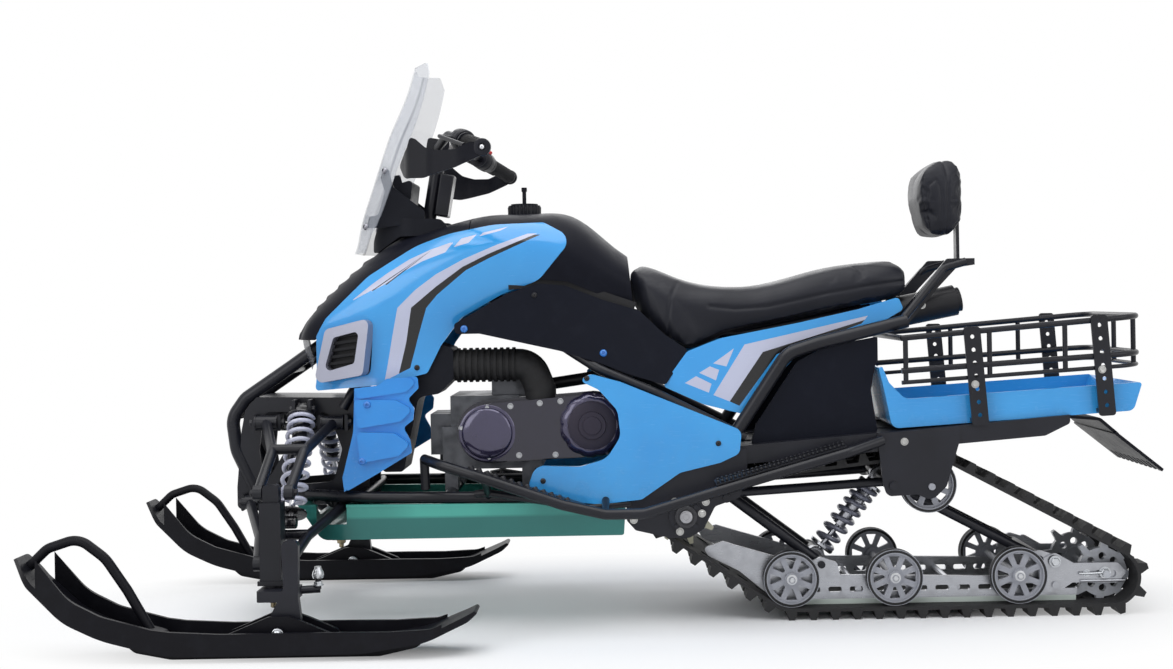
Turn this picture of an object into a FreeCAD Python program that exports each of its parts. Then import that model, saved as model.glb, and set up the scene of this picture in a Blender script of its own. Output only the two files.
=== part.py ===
"""Utility snowmobile with two steered skis, one rubber track and a cargo rack.

The part is modelled in millimetres: +X forward, +Y to the rider's left, +Z up, with the origin
on the ground under the middle of the machine. Every driving dimension is a cell of the sheet.
"""
import FreeCAD, Part
import math
import os

V = FreeCAD.Vector
doc = FreeCAD.newDocument("snowmobile")
sheet = doc.addObject("Spreadsheet::Sheet", "sizes")
X_AXIS, Y_AXIS, Z_AXIS = V(1, 0, 0), V(0, 1, 0), V(0, 0, 1)
ORIGIN = V(0, 0, 0)


class Sizes:
    """The driving dimensions in millimetres or degrees: each is a cell of the sheet with an alias."""

    def __init__(self):
        self.row = 0

    def add(self, **values):
        for alias, value in values.items():
            self.row += 1
            sheet.set(f"A{self.row}", alias)
            sheet.set(f"B{self.row}", str(value))
            sheet.setAlias(f"B{self.row}", alias)
            setattr(self, alias, value)


size = Sizes()

# Track and its running gear
size.add(track_width=380.0, belt_thickness=8.0, lug_height=20.0, lug_base=26.0, lug_top=13.0,
         track_pitch=52.4, track_pitches=49, sprocket_teeth=8, tooth_height=20.0, tooth_base=24.0, tooth_tip=9.0,
         sprocket_width=16.0, sprocket_y=112.0, window_width=26.0, window_length=30.0,
         drive_x=-170.0, drive_z=258.0, tail_x=-1186.0, carrier_x=-756.0, carrier_z=318.0,
         wheel_radius=67.5, wheel_width=24.0, wheel_y=165.0, tyre_thickness=6.0,
         wheel_hub_radius=16.0, wheel_windows=8, axle_radius=8.0, wheel_front_x=-423.0,
         wheel_middle_x=-672.0, wheel_rear_x=-971.0, wheel_clearance=0.3)
# Slide rails, their sliders and the adjusters
size.add(rail_y=134.0, rail_thickness=5.0, rail_gap=18.0, slider_width=14.0, rail_height=54.0,
         rail_slot_length=32.0, rail_slot_height=13.0, rail_slot_pitch=52.0, rail_slots=13,
         adjuster_height=48.0, adjuster_length=150.0)
# Tunnel and the plates that carry the track
size.add(tunnel_width=412.0, tunnel_sheet=4.0, tunnel_side=40.0, tunnel_front_x=-150.0,
         tunnel_rear_x=-1090.0, tunnel_front_z=406.0, rear_tilt=4.4, plate_thickness=6.0)
# Frame tubes
size.add(main_tube_radius=16.0, rail_tube_radius=14.0, brace_tube_radius=12.0,
         foot_tube_radius=12.5, bumper_tube_radius=16.0, frame_y=188.0, bumper_y=80.0,
         foot_y=285.0, foot_board_thickness=4.0)
# Front suspension and steering
size.add(ski_stance=900.0, ski_width=130.0, ski_length=1032.0, ski_thickness=14.0,
         keel_width=44.0, nose_x=1342.0, kingpin_x=769.0, kingpin_y=400.0, kingpin_radius=11.0,
         housing_width=48.0, housing_top_z=334.0, housing_bottom_z=150.0, running_gap=0.5,
         arm_tube_radius=12.0, bush_radius=17.0, arm_inner_y=112.0, bulkhead_y=90.0,
         shock_spring_radius=34.0, shock_wire_radius=5.0, loop_tube_radius=11.0)
# Handlebar
size.add(bar_radius=11.0, bar_width=800.0, column_radius=17.0, column_angle=10.0, grip_radius=17.0,
         grip_length=120.0, column_foot_x=456.0, column_foot_z=984.0, column_height=178.7,
         column_play=0.08)
# Bodywork
size.add(panel_thickness=4.0, seam=0.5, screen_thickness=3.0, screen_crease=0.5,
         seat_width=290.0, tray_width=388.0, tray_wall=5.0, rack_y=200.0, rack_tube_radius=7.0,
         strap_width=40.0, strap_thickness=4.0, backrest_width=184.0, belly_width=392.0)
doc.recompute()

wheel_z = 0.0
made = []


def node(label, shape):
    """Adds a finished shape to the document under the name of its node."""
    feature = doc.addObject("Part::Feature", label)
    feature.Label = label
    feature.Shape = shape
    made.append(feature)
    return feature


def keep(feature, label):
    """Names a parametric object as a node of the part."""
    feature.Label = label
    made.append(feature)
    return feature


def mirror(shape):
    """The same shape on the other side of the machine."""
    return shape.mirror(ORIGIN, Y_AXIS)


def pair(shape):
    """A left piece and its mirror image as one compound."""
    return Part.makeCompound(solids(shape) + solids(mirror(shape)))


def solids(shape):
    return list(shape.Solids)


def together(shapes):
    """One solid from shapes that overlap or touch."""
    shapes = list(shapes)
    if len(shapes) == 1:
        return shapes[0]
    fused = shapes[0].multiFuse(shapes[1:])
    merged = fused.removeSplitter()
    return merged if merged.isValid() else fused


def main_piece(shape):
    """The largest solid of a shape that a cut has left in pieces."""
    return max(shape.Solids, key=lambda solid: solid.Volume)


def unit(vector):
    return V(vector).normalize()


def corner_arc(before, corner, after, radius):
    """The tangent arc that rounds a corner, no longer than its sides allow, or None if it is straight."""
    back, on = unit(before - corner), unit(after - corner)
    half = back.getAngle(on) / 2
    if half > math.radians(89.5):
        return None
    room = 0.49 * min((before - corner).Length, (after - corner).Length)
    reach = min(radius / math.tan(half), room)
    radius = reach * math.tan(half)
    bisector = unit(back + on)
    middle = corner + bisector * (radius / math.sin(half) - radius)
    return corner + back * reach, middle, corner + on * reach


def rounded_edges(points, radii, closed):
    """Straight edges between the points, with an arc of its own radius at each corner."""
    count = len(points)
    edges, ends = [], []
    for i, corner in enumerate(points):
        inside = closed or 0 < i < count - 1
        arc = None
        if inside and radii[i] > 0:
            arc = corner_arc(points[i - 1], corner, points[(i + 1) % count], radii[i])
        ends.append(arc or (corner, None, corner))
    for i in range(count):
        start, middle, end = ends[i]
        if middle is not None:
            edges.append(Part.Arc(start, middle, end).toShape())
        if i + 1 < count or closed:
            nearest = ends[(i + 1) % count][0]
            if (nearest - end).Length > 1e-6:
                edges.append(Part.LineSegment(end, nearest).toShape())
    return edges


def outline(points, y=0.0):
    """A closed wire in a side view from corners (x, z) or (x, z, radius)."""
    corners = [V(p[0], y, p[1]) for p in points]
    radii = [p[2] if len(p) > 2 else 0.0 for p in points]
    return Part.Wire(rounded_edges(corners, radii, True))


def side_slab(points, y_from, y_to):
    """A side-view outline extruded from one lateral place to another."""
    return Part.Face(outline(points, y_from)).extrude(V(0, y_to - y_from, 0))


def disc(x, z, radius, y_from, y_to):
    """A cylinder across the machine."""
    return Part.makeCylinder(radius, abs(y_to - y_from), V(x, min(y_from, y_to), z), Y_AXIS)


def rod(start, end, radius):
    """A round bar between two points."""
    way = end - start
    return Part.makeCylinder(radius, way.Length, start, way)


def tube(points, radius, bend=0.0):
    """A round tube along straight runs joined by tangent arcs."""
    points = [V(*p) for p in points]
    bends = [bend] * len(points) if not isinstance(bend, (list, tuple)) else list(bend)
    wire = Part.Wire(rounded_edges(points, bends, False))
    circle = Part.Wire(Part.Circle(points[0], points[1] - points[0], radius).toShape())
    return wire.makePipeShell([circle], True, False)


def box(x_from, x_to, y_from, y_to, z_from, z_to):
    return Part.makeBox(x_to - x_from, y_to - y_from, z_to - z_from, V(x_from, y_from, z_from))


def turned(shape, axis, degrees, centre=ORIGIN):
    copy = shape.copy()
    copy.rotate(centre, axis, degrees)
    return copy


# Track loop: four circles inside the belt, joined by the straight runs that touch them
def tangent(first, second):
    """The outside tangent of two circles (x, z, r), for a loop that turns clockwise seen from the left."""
    x1, z1, r1 = first
    x2, z2, r2 = second
    span = math.hypot(x2 - x1, z2 - z1)
    heading = math.atan2(z2 - z1, x2 - x1)
    lean = math.asin((r1 - r2) / span)
    normal = heading - math.pi / 2 + lean
    c, s = math.cos(normal), math.sin(normal)
    return V(x1 + r1 * c, 0, z1 + r1 * s), V(x2 + r2 * c, 0, z2 + r2 * s)


def loop_runs(circles):
    """The arcs and straight runs of the belt as (kind, start, end, circle), in order of travel."""
    count = len(circles)
    lines = [tangent(circles[i], circles[(i + 1) % count]) for i in range(count)]
    runs = []
    for i in range(count):
        runs.append(("arc", lines[i - 1][1], lines[i][0], circles[i]))
        runs.append(("line", lines[i][0], lines[i][1], None))
    return runs


def sweep_angle(start, end, circle):
    """How far round its circle an arc of the loop turns, in radians."""
    x, z, r = circle
    a = math.atan2(start.z - z, start.x - x)
    b = math.atan2(end.z - z, end.x - x)
    return (b - a) % (2 * math.pi)


def loop_length(runs, offset):
    """The length of the loop at a height above its inner face."""
    total = 0.0
    for kind, start, end, circle in runs:
        if kind == "line":
            total += (end - start).Length
        else:
            total += sweep_angle(start, end, circle) * (circle[2] + offset)
    return total


def loop_wire(runs, offset):
    """The closed wire of the loop at a height above its inner face."""
    edges = []
    for kind, start, end, circle in runs:
        if kind == "line":
            way = unit(end - start)
            out = V(way.z, 0, -way.x) * offset
            edges.append(Part.LineSegment(start + out, end + out).toShape())
        else:
            x, z, r = circle
            centre = V(x, 0, z)
            grow = (r + offset) / r
            a = math.atan2(start.z - z, start.x - x) + sweep_angle(start, end, circle) / 2
            middle = centre + V(math.cos(a), 0, math.sin(a)) * (r + offset)
            first, last = centre + (start - centre) * grow, centre + (end - centre) * grow
            edges.append(Part.Arc(first, middle, last).toShape())
    return Part.Wire(edges)


def station(runs, distance, offset):
    """The point and outward direction at a distance along the loop's middle line."""
    for kind, start, end, circle in runs:
        if kind == "line":
            length = (end - start).Length
            if distance <= length:
                way = unit(end - start)
                return start + way * distance, V(way.z, 0, -way.x)
        else:
            x, z, r = circle
            length = sweep_angle(start, end, circle) * (r + offset)
            if distance <= length:
                a = math.atan2(start.z - z, start.x - x) + distance / (r + offset)
                out = V(math.cos(a), 0, math.sin(a))
                return V(x, 0, z) + out * r, out
        distance -= length
    return station(runs, distance, offset)


# Track: the loop is fitted so that a whole number of sprocket pitches goes round it
pitch = size.track_pitch
belt_radius = pitch * size.sprocket_teeth / (2 * math.pi) - size.belt_thickness / 2
belt_floor = size.belt_thickness + size.lug_height
wheel_z = belt_floor + size.wheel_radius + size.wheel_clearance
tail_z = belt_floor + belt_radius
rim = size.wheel_radius + size.wheel_clearance


def circles_for(tail_x):
    return [(size.drive_x, size.drive_z, belt_radius), (size.carrier_x, size.carrier_z, rim),
            (tail_x, tail_z, belt_radius), (size.wheel_front_x, wheel_z, rim)]


near, far = size.tail_x - 60, size.tail_x + 60
for step in range(50):
    tail_x = (near + far) / 2
    if loop_length(loop_runs(circles_for(tail_x)), size.belt_thickness / 2) > size.track_pitches * pitch:
        near = tail_x
    else:
        far = tail_x
circles = circles_for(tail_x)
runs = loop_runs(circles)
half_belt = size.belt_thickness / 2
half_track = size.track_width / 2
window_in = size.sprocket_y - size.window_width / 2
window_out = size.sprocket_y + size.window_width / 2


def placed(shape, point, out):
    """Stands a shape made along +Z with its length along X at a place on the belt."""
    copy = shape.copy()
    copy.Placement = FreeCAD.Placement(point, FreeCAD.Rotation(Y_AXIS, math.degrees(math.atan2(out.x, out.z))))
    return copy


def lug(y_from, y_to):
    """One lug of the track, standing on the belt's outer face and tapering to its tip."""
    foot = size.belt_thickness - 3.0
    top = size.belt_thickness + size.lug_height
    b, t = size.lug_base / 2, size.lug_top / 2
    points = [V(-b, y_from, foot), V(b, y_from, foot), V(b, y_from, foot + 3), V(t, y_from, top),
              V(-t, y_from, top), V(-b, y_from, foot + 3), V(-b, y_from, foot)]
    return Part.Face(Part.makePolygon(points)).extrude(V(0, y_to - y_from, 0))


def make_track():
    outer = loop_wire(runs, size.belt_thickness)
    inner = loop_wire(runs, 0)
    belt = Part.Face(outer).extrude(V(0, size.track_width, 0))
    belt = belt.cut(Part.Face(inner).extrude(V(0, size.track_width, 0)))
    belt.translate(V(0, -half_track, 0))
    window = Part.makeBox(size.window_length, size.window_width, 40, V(-size.window_length / 2, window_in, -16))
    windows, lugs = [], []
    blocks = [lug(-half_track, -window_out), lug(-window_in, window_in), lug(window_out, half_track)]
    for i in range(size.track_pitches):
        point, out = station(runs, i * pitch, half_belt)
        windows.append(placed(window, point, out))
        windows.append(mirror(windows[-1]))
        point, out = station(runs, (i + 0.5) * pitch, half_belt)
        lugs += [placed(block, point, out) for block in blocks]
    belt = belt.cut(windows)
    return belt.fuse(lugs).removeSplitter()


def tooth_phase(circle):
    """The angle of one window that lies on the belt where it wraps a sprocket."""
    centre = V(circle[0], 0, circle[1])
    for i in range(size.track_pitches):
        point, out = station(runs, i * pitch, half_belt)
        if abs((point - centre).Length - circle[2]) < 1e-4:
            return math.degrees(math.atan2(out.z, out.x))
    return 0.0


def sprocket(circle, cutouts):
    """A toothed wheel whose teeth stand in the track's windows."""
    x, z, r = circle
    w = size.sprocket_width
    body = Part.makeCylinder(r - 3.0, w, V(0, -w / 2, 0), Y_AXIS)
    b, t = size.tooth_base / 2, size.tooth_tip / 2
    low, top = r - 12, r + size.tooth_height
    points = [V(-b, -w / 2, low), V(b, -w / 2, low), V(t, -w / 2, top), V(-t, -w / 2, top), V(-b, -w / 2, low)]
    tooth = Part.Face(Part.makePolygon(points)).extrude(V(0, w, 0))
    phase = tooth_phase(circle)
    teeth = []
    for i in range(size.sprocket_teeth):
        angle = phase + i * 360.0 / size.sprocket_teeth
        teeth.append(turned(tooth, Y_AXIS, 90 - angle))
    body = body.fuse(teeth)
    holes = [disc(0.62 * r * math.cos(math.radians(a)), 0.62 * r * math.sin(math.radians(a)), 9, -w, w)
             for a in range(0, 360, 45)] if cutouts else []
    if holes:
        body = body.cut(holes)
    hub = disc(0, 0, 24, -w / 2 - 7, w / 2 + 7)
    body = body.fuse(hub).removeSplitter()
    body.translate(V(x, size.sprocket_y, z))
    return body


drive, carrier, tail, front_wheel = circles
track = make_track()

drive_axle = disc(drive[0], drive[1], 14, -222, 222)
drive_set = together([drive_axle, sprocket(drive, False), mirror(sprocket(drive, False))])
tail_axle = disc(tail[0], tail[1], 9, -156, 156)
tail_set = together([tail_axle, sprocket(tail, True), mirror(sprocket(tail, True))])
sprockets = Part.makeCompound([drive_set, tail_set])


def idler(x, z, y, windows=True):
    """A running wheel: a dished disc with windows between its spokes and a rubber rim."""
    r, w = size.wheel_radius, size.wheel_width
    wheel = disc(x, z, r, y - w / 2, y + w / 2)
    dish = r - size.tyre_thickness - 4
    wheel = wheel.cut([disc(x, z, dish, y - w / 2 - 1, y - 4), disc(x, z, dish, y + 4, y + w / 2 + 1)])
    holes = []
    step = 360.0 / size.wheel_windows
    inner, outer = size.wheel_hub_radius + 8, dish - 5
    for i in range(size.wheel_windows):
        a = i * step
        half_in, half_out = step * 0.16, step * 0.33
        corners = []
        for radius, swing in ((inner, -half_in), (outer, -half_out), (outer, half_out), (inner, half_in)):
            t = math.radians(a + swing)
            corners.append((x + radius * math.cos(t), z + radius * math.sin(t), 2.0))
        holes.append(side_slab(corners, y - 10, y + 10))
    wheel = wheel.cut(holes)
    hub = disc(x, z, size.wheel_hub_radius, y - w / 2 - 2, y + w / 2 + 2)
    return wheel.fuse(hub)


def wheel_set(x, z, reach):
    """A cross axle with a running wheel near each end."""
    wheel = idler(x, z, size.wheel_y)
    axle = disc(x, z, size.axle_radius, -reach, reach)
    return together([axle, wheel, mirror(wheel)])


rail_out = size.rail_y + size.rail_thickness
rail_in = size.rail_y - size.rail_thickness
wheel_places = [(size.wheel_front_x, wheel_z), (size.wheel_middle_x, wheel_z), (size.wheel_rear_x, wheel_z)]
sets = [wheel_set(x, z, 186) for x, z in wheel_places] + [wheel_set(size.carrier_x, size.carrier_z, 218)]
wheels = Part.makeCompound(sets)


# Slide rails with their sliders, slots and the adjusters that hold the tail axle
def make_rail():
    low, top = belt_floor + 10, belt_floor + 10 + size.rail_height
    points = [(-1120, low, 6), (-1120, top - 8, 6), (-548, top + 6, 10), (-300, 172, 10), (-262, 184, 8),
              (-214, 170, 8), (-225, 150, 10), (-300, 112, 30), (-372, 52, 40), (-420, low, 20)]
    rail = side_slab(points, rail_in, rail_out)
    slots = []
    for i in range(size.rail_slots):
        x = -480.0 - i * size.rail_slot_pitch
        h, l = size.rail_slot_height / 2, size.rail_slot_length / 2
        z = (low + top) / 2 - 2
        slots.append(side_slab([(x - l, z - h, 5), (x + l, z - h, 5), (x + l, z + h, 5), (x - l, z + h, 5)],
                               rail_in - 1, rail_out + 1))
    rail = rail.cut(slots)
    s = size.slider_width / 2
    slider = side_slab([(-1116, belt_floor), (-1116, low + 6), (-436, low + 6), (-424, low + 2), (-424, belt_floor + 1),
                        (-430, belt_floor)], size.rail_y - s, size.rail_y + s)
    brackets = side_slab([(-470, top - 8), (-462, 128, 8), (-500, 142, 14), (-538, 128, 8), (-548, top - 8)],
                         rail_in, rail_out)
    rear = side_slab([(-990, top - 10), (-1000, 140, 8), (-1029, 150, 14), (-1060, 140, 8), (-1075, top - 10)],
                     rail_in, rail_out)
    return together([rail, slider, brackets, rear])


def make_adjuster():
    z = tail[1]
    points = [(-1024, 124, 8), (-1066, 144, 14), (-1111, z + 27, 8), (tail[0] - 30, z + 27, 12),
              (tail[0] - 52, z + 4, 8), (tail[0] - 30, z - 22, 12), (-1108, z - 20, 6), (-1069, 46, 10), (-1030, 52, 6)]
    plate = side_slab(points, rail_out - 2, rail_out + 5)
    slot = side_slab([(tail[0] - 26, z - 9.1, 9), (tail[0] + 26, z - 9.1, 9), (tail[0] + 26, z + 9.1, 9),
                      (tail[0] - 26, z + 9.1, 9)], rail_out - 1, rail_out + 6)
    screw = rod(V(tail[0] - 46, rail_out + 6, z - 16), V(tail[0] + 62, rail_out + 6, z - 16), 4)
    heads = [disc(x, zz, 8, rail_out + 5, rail_out + 11) for x, zz in ((-1064, 123), (-1065, 66))]
    return together([plate.cut(slot), screw] + heads)


axle_tools = [disc(x, z, size.axle_radius, -400, 400) for x, z in wheel_places]
rail = make_rail()
adjuster = make_adjuster()
side = together([rail, adjuster])
arm_low, arm_rear = V(-500, 0, 124), V(-1029, 0, 128)
side = side.cut([disc(arm_low.x, arm_low.z, 9, 100, 160), disc(arm_rear.x, arm_rear.z, 9, 100, 160)])
rails = pair(side)
cross = [disc(-590, 62, 8, -rail_in, rail_in), disc(-830, 62, 8, -rail_in, rail_in)]
rails = rails.fuse(cross).cut(axle_tools).cut(tail_axle)

# Suspension arms between the rails and the tunnel
arm_top, arm_back = V(-268, 0, 300), V(-664, 0, 322)


def across(point, y):
    return V(point.x, y, point.z)


def make_suspension():
    pieces = [disc(arm_top.x, arm_top.z, 13, -206, 206), disc(arm_back.x, arm_back.z, 13, -206, 206),
              disc(arm_low.x, arm_low.z, 9, -145, 145), disc(arm_rear.x, arm_rear.z, 9, -145, 145),
              disc(arm_low.x, arm_low.z, 15, -118, 118), disc(arm_rear.x, arm_rear.z, 15, -118, 118)]
    for y in (-88.0, 88.0):
        pieces.append(rod(across(arm_top, y), across(arm_low, y * 1.1), 13))
        pieces.append(rod(across(arm_top, y * 1.5), across(arm_back, y * 1.5), 11))
        pieces.append(rod(across(arm_back, y), across(arm_rear, y * 1.1), 12))
    pieces.append(rod(V(-800, -88, 258), V(-800, 88, 258), 10))
    return together(pieces)


suspension = make_suspension()


def coil(start, end, radius, wire, turns):
    """A coil spring as a helical round wire between two points."""
    length = (end - start).Length
    helix = Part.makeHelix(length / turns, length, radius)
    profile = Part.Wire(Part.Circle(V(radius, 0, 0), Y_AXIS, wire).toShape())
    spring = Part.Wire(helix.Edges).makePipeShell([profile], True, True)
    spring.Placement = FreeCAD.Placement(start, FreeCAD.Rotation(Z_AXIS, end - start))
    return spring


def shock(top, foot, spring_radius, wire, turns, eye, eye_width):
    """A damper with its eyes, body, rod, spring seats and coil spring."""
    way = unit(foot - top)
    span = (foot - top).Length
    eyes = []
    for end in (top, foot):
        eyes.append(Part.makeCylinder(eye, eye_width, end - V(0, eye_width / 2, 0), Y_AXIS))
    body = rod(top + way * (eye * 0.5), top + way * (span * 0.62), spring_radius * 0.52)
    piston = rod(top + way * (span * 0.5), foot - way * (eye * 0.5), spring_radius * 0.26)
    upper = rod(top + way * (eye + 4), top + way * (eye + 12), spring_radius + 3)
    lower = rod(foot - way * (eye + 12), foot - way * (eye + 4), spring_radius + 3)
    spring = coil(top + way * (eye + 11), foot - way * (eye + 11), spring_radius - wire, wire, turns)
    return together([body, piston, upper, lower] + eyes), spring


pin_top, pin_low = V(-664, 0, 322), V(-500, 0, 124)
track_damper, track_spring = shock(pin_top, pin_low, 26, 4.5, 7, 22, 34)
track_damper = together([track_damper, track_spring]).cut([disc(pin_top.x, pin_top.z, 13, -60, 60),
                                                           disc(pin_low.x, pin_low.z, 15, -60, 60)])


# Tunnel over the track and the brackets that hang from it
def tunnel_z(x):
    return size.tunnel_front_z + (size.tunnel_front_x - x) * math.tan(math.radians(size.rear_tilt))


def make_tunnel():
    x1, x2 = size.tunnel_front_x, size.tunnel_rear_x
    h, t, w = size.tunnel_side, size.tunnel_sheet, size.tunnel_width / 2
    top = side_slab([(x1, tunnel_z(x1) + t), (x2, tunnel_z(x2) + t), (x2, tunnel_z(x2)), (x1, tunnel_z(x1))], -w, w)
    skirt = side_slab([(x1, tunnel_z(x1) + t), (x2, tunnel_z(x2) + t), (x2, tunnel_z(x2) - 16, 10),
                       (x2 + 60, tunnel_z(x2 + 60) - h, 10), (x1 + 2, tunnel_z(x1) - h)], w - t, w)
    front = box(x1 - 4, x1, -w, w, tunnel_z(x1) - 34, tunnel_z(x1) + t)
    ribs = [side_slab([(x1 - 120, tunnel_z(x1 - 120) + t + 3), (x2 + 140, tunnel_z(x2 + 140) + t + 3),
                       (x2 + 140, tunnel_z(x2 + 140)), (x1 - 120, tunnel_z(x1 - 120))], y - 9, y + 9)
            for y in (-90.0, 90.0)]
    return together([top, skirt, mirror(skirt), front] + ribs)


tunnel = make_tunnel()
half_tunnel = size.tunnel_width / 2
plate_out = half_tunnel + size.plate_thickness


def make_brackets():
    drive_plate = side_slab([(-29, 300, 10), (-29, 250, 10), (-50, 226, 12), (-134, 206, 20), (-178, 206, 20),
                             (-212, 226, 12), (-240, 280, 14), (-300, 300, 10), (-318, 374, 10), (-318, 416, 6),
                             (-150, 404, 6), (-107, 374, 20), (-64, 345, 20)], half_tunnel, plate_out)
    bearing = disc(drive[0], drive[1], 40, plate_out, plate_out + 10)
    flange = disc(drive[0], drive[1], 27, plate_out + 10, plate_out + 14)
    bolts = [disc(drive[0] + 32 * math.cos(a), drive[1] + 32 * math.sin(a), 5.5, plate_out + 10, plate_out + 15)
             for a in (0.8, 2.37, 3.94, 5.5)]
    carrier_plate = side_slab([(-628, 446, 6), (-828, 461, 6), (-824, 424, 10), (-792, 318, 24), (-756, 284, 24),
                               (-722, 300, 20), (-650, 296, 16), (-640, 330, 16)], half_tunnel, plate_out)
    return together([drive_plate, bearing, flange] + bolts), carrier_plate


drive_bracket, carrier_bracket = make_brackets()
brackets = pair(Part.makeCompound([drive_bracket, carrier_bracket]))
axles = [drive_axle, disc(carrier[0], carrier[1], size.axle_radius, -400, 400)]
brackets = brackets.cut(axles)
pins = [disc(p.x, p.z, 9, half_tunnel, plate_out + 8) for p in (arm_top, arm_back)]
brackets = brackets.fuse(pins + [mirror(p) for p in pins])


# Frame tubes: lower rails, upper braces, seat loops, foot rests' tubes and the cross members
def make_frame():
    y = size.frame_y
    r1, r2, r3 = size.main_tube_radius, size.rail_tube_radius, size.brace_tube_radius
    half = []
    half.append(tube([(748, 118, 312), (610, 176, 312), (480, y, 310), (-74, y, 304)], r2, [0, 90, 90, 0]))
    half.append(tube([(-60, y, 318), (-150, y, 388), (-249, y, 392)], r2, 50))
    half.append(tube([(-190, y, 380), (-249, y, 385), (-420, y, 640), (-498, y - 4, 664), (-712, y - 20, 712)], r1,
                     [0, 20, 70, 60, 0]))
    half.append(tube([(-318, y, 440), (-100, y, 552), (28, y - 4, 608), (95, 150, 650), (440, 52, 884)], r3,
                     [0, 80, 80, 80, 0]))
    half.append(tube([(664, 92, 520), (560, 70, 700), (440, 52, 884)], r3, 60))
    half.append(tube([(-640, 70, 744), (-337, 70, 690), (-274, 70, 684), (-120, 70, 716), (0, 84, 728),
                      (250, 106, 755)], 11, [0, 200, 200, 200, 200, 0]))
    half.append(tube([(-600, 70, 687), (-600, 70, 737)], 9))
    half.append(tube([(-440, 70, 648), (-440, 70, 708)], 9))
    left = together(half)
    across_tubes = [tube([(440, -60, 884), (440, 60, 884)], r3), tube([(610, -176, 312), (610, 176, 312)], r3),
                    tube([(400, -y, 310), (400, y, 310)], r3), tube([(210, -y, 308), (210, y, 308)], r3),
                    tube([(-440, -y, 648), (-440, y, 648)], r3), tube([(-600, -y + 12, 687), (-600, y - 12, 687)], r3)]
    centre = column_foot + column_way * -collar_drop
    collar = rod(centre - column_way * 12, centre + column_way * 16, size.column_radius + 9)
    bore = rod(centre - column_way * 60, centre + column_way * 60, size.column_radius + size.column_play)
    gusset = box(436, centre.x, -14, 14, centre.z - 8, centre.z + 8)
    whole = together([left, mirror(left)] + across_tubes + [gusset, collar])
    return whole.cut(bore)


# The steering column's foot and the way that the column points, leaning back
column_foot = V(size.column_foot_x, 0, size.column_foot_z)
collar_drop = 100.0
column_way = V(-math.sin(math.radians(size.column_angle)), 0, math.cos(math.radians(size.column_angle)))
frame = make_frame()

# Foot rests: a bent tube each side with a grip plate along it and stays back to the frame
def make_footrest():
    y, r = size.foot_y, size.foot_tube_radius
    bar = tube([(452, 196, 402), (404, y - 25, 394), (320, y, 370), (120, y, 300), (20, y, 276), (-70, y, 276),
                (-250, y - 10, 326), (-560, y - 40, 408), (-640, 212, 430)], r, [0, 30, 60, 80, 60, 60, 80, 40, 0])
    inner = tube([(330, 202, 318), (300, 214, 322), (60, 214, 282), (-40, 206, 290)], 9, [0, 20, 60, 0])
    stays = [tube([(x, 196, z1), (x, y, z2)], 9) for x, z1, z2 in ((300, 312, 362), (20, 306, 276))]
    grip = side_slab([(336, 380), (336, 376), (118, 303), (60, 286), (60, 290)], 214, y)
    stay = tube([(-250, 208, 330), (-252, y - 10, 326)], 9)
    return together([bar, inner, grip, stay] + stays)


footrest = make_footrest()
foot_posts = tube([(452, 185, 330), (452, 196, 402)], 11)
footrest = together([footrest, foot_posts])

# Bulkhead: side plates, top and bottom channels, bush lugs and the nose skid
def make_bulkhead():
    b = size.bulkhead_y
    side_plate = side_slab([(877, 551, 10), (640, 546, 10), (602, 470, 20), (604, 276, 10), (700, 276, 20),
                            (720, 298, 20), (846, 298, 20), (866, 276, 20), (928, 276, 12), (928, 330, 12),
                            (915, 470, 10), (905, 520, 20)], b - 5, b)
    hole = side_slab([(860, 515, 20), (700, 510, 20), (668, 420, 20), (690, 340, 20), (860, 330, 20), (872, 420, 20)],
                     b - 6, b + 1)
    strut = side_slab([(850, 300), (882, 300), (732, 540), (700, 540)], b - 5, b)
    side_plate = side_plate.cut(hole).fuse(strut)
    flange = side_slab([(877, 551), (640, 546), (640, 541), (877, 546)], -b, b)
    floor = side_slab([(664, 306), (900, 294), (900, 289), (664, 301)], -b, b)
    shelf = side_slab([(900, 474), (640, 470), (640, 465), (900, 469)], -b, b)
    lugs = []
    for x1, x2, z1, z2 in ((883, 809, 490, 489), (723, 645, 488, 486), (913, 864, 296, 296), (687, 613, 297, 293)):
        for x in (x1 - 6, x2 + 6):
            z = (z1 + z2) / 2
            lugs.append(side_slab([(x - 4, z - 20, 4), (x + 4, z - 20, 4), (x + 4, z + 20, 4), (x - 4, z + 20, 4)],
                                  b - 5, size.arm_inner_y + 12))
    shock_mount = [side_slab([(x - 4, 500), (x + 4, 500), (x + 4, 545), (x - 4, 545)], b - 5, 138) for x in (738, 776)]
    half = [side_plate] + lugs + shock_mount
    return together(half + [mirror(h) for h in half] + [flange, floor, shelf])


bulkhead = make_bulkhead()
pivot_places = ((846, 490), (684, 487), (889, 296), (650, 295))


def upper_arm():
    """The upper control arm: two legs from the frame's bushes to a cross bar and the spindle's top."""
    y = size.arm_inner_y
    r = size.arm_tube_radius
    bushes = [Part.makeCylinder(size.bush_radius, 52, V(x - 26, y, z), X_AXIS) for x, z in pivot_places[:2]]
    legs = [tube([(846, y + 8, 488), (790, 300, 437), (799, 396, 358)], r, [0, 60, 0]),
            tube([(684, y + 8, 485), (716, 300, 437), (729, 396, 358)], r, [0, 60, 0])]
    bar = tube([(796, 290, 441), (710, 290, 441)], r)
    eyes = [Part.makeCylinder(17, 20, V(x, size.kingpin_y, 355), X_AXIS) for x in (789, 719)]
    return together(bushes + legs + [bar] + eyes)


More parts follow.
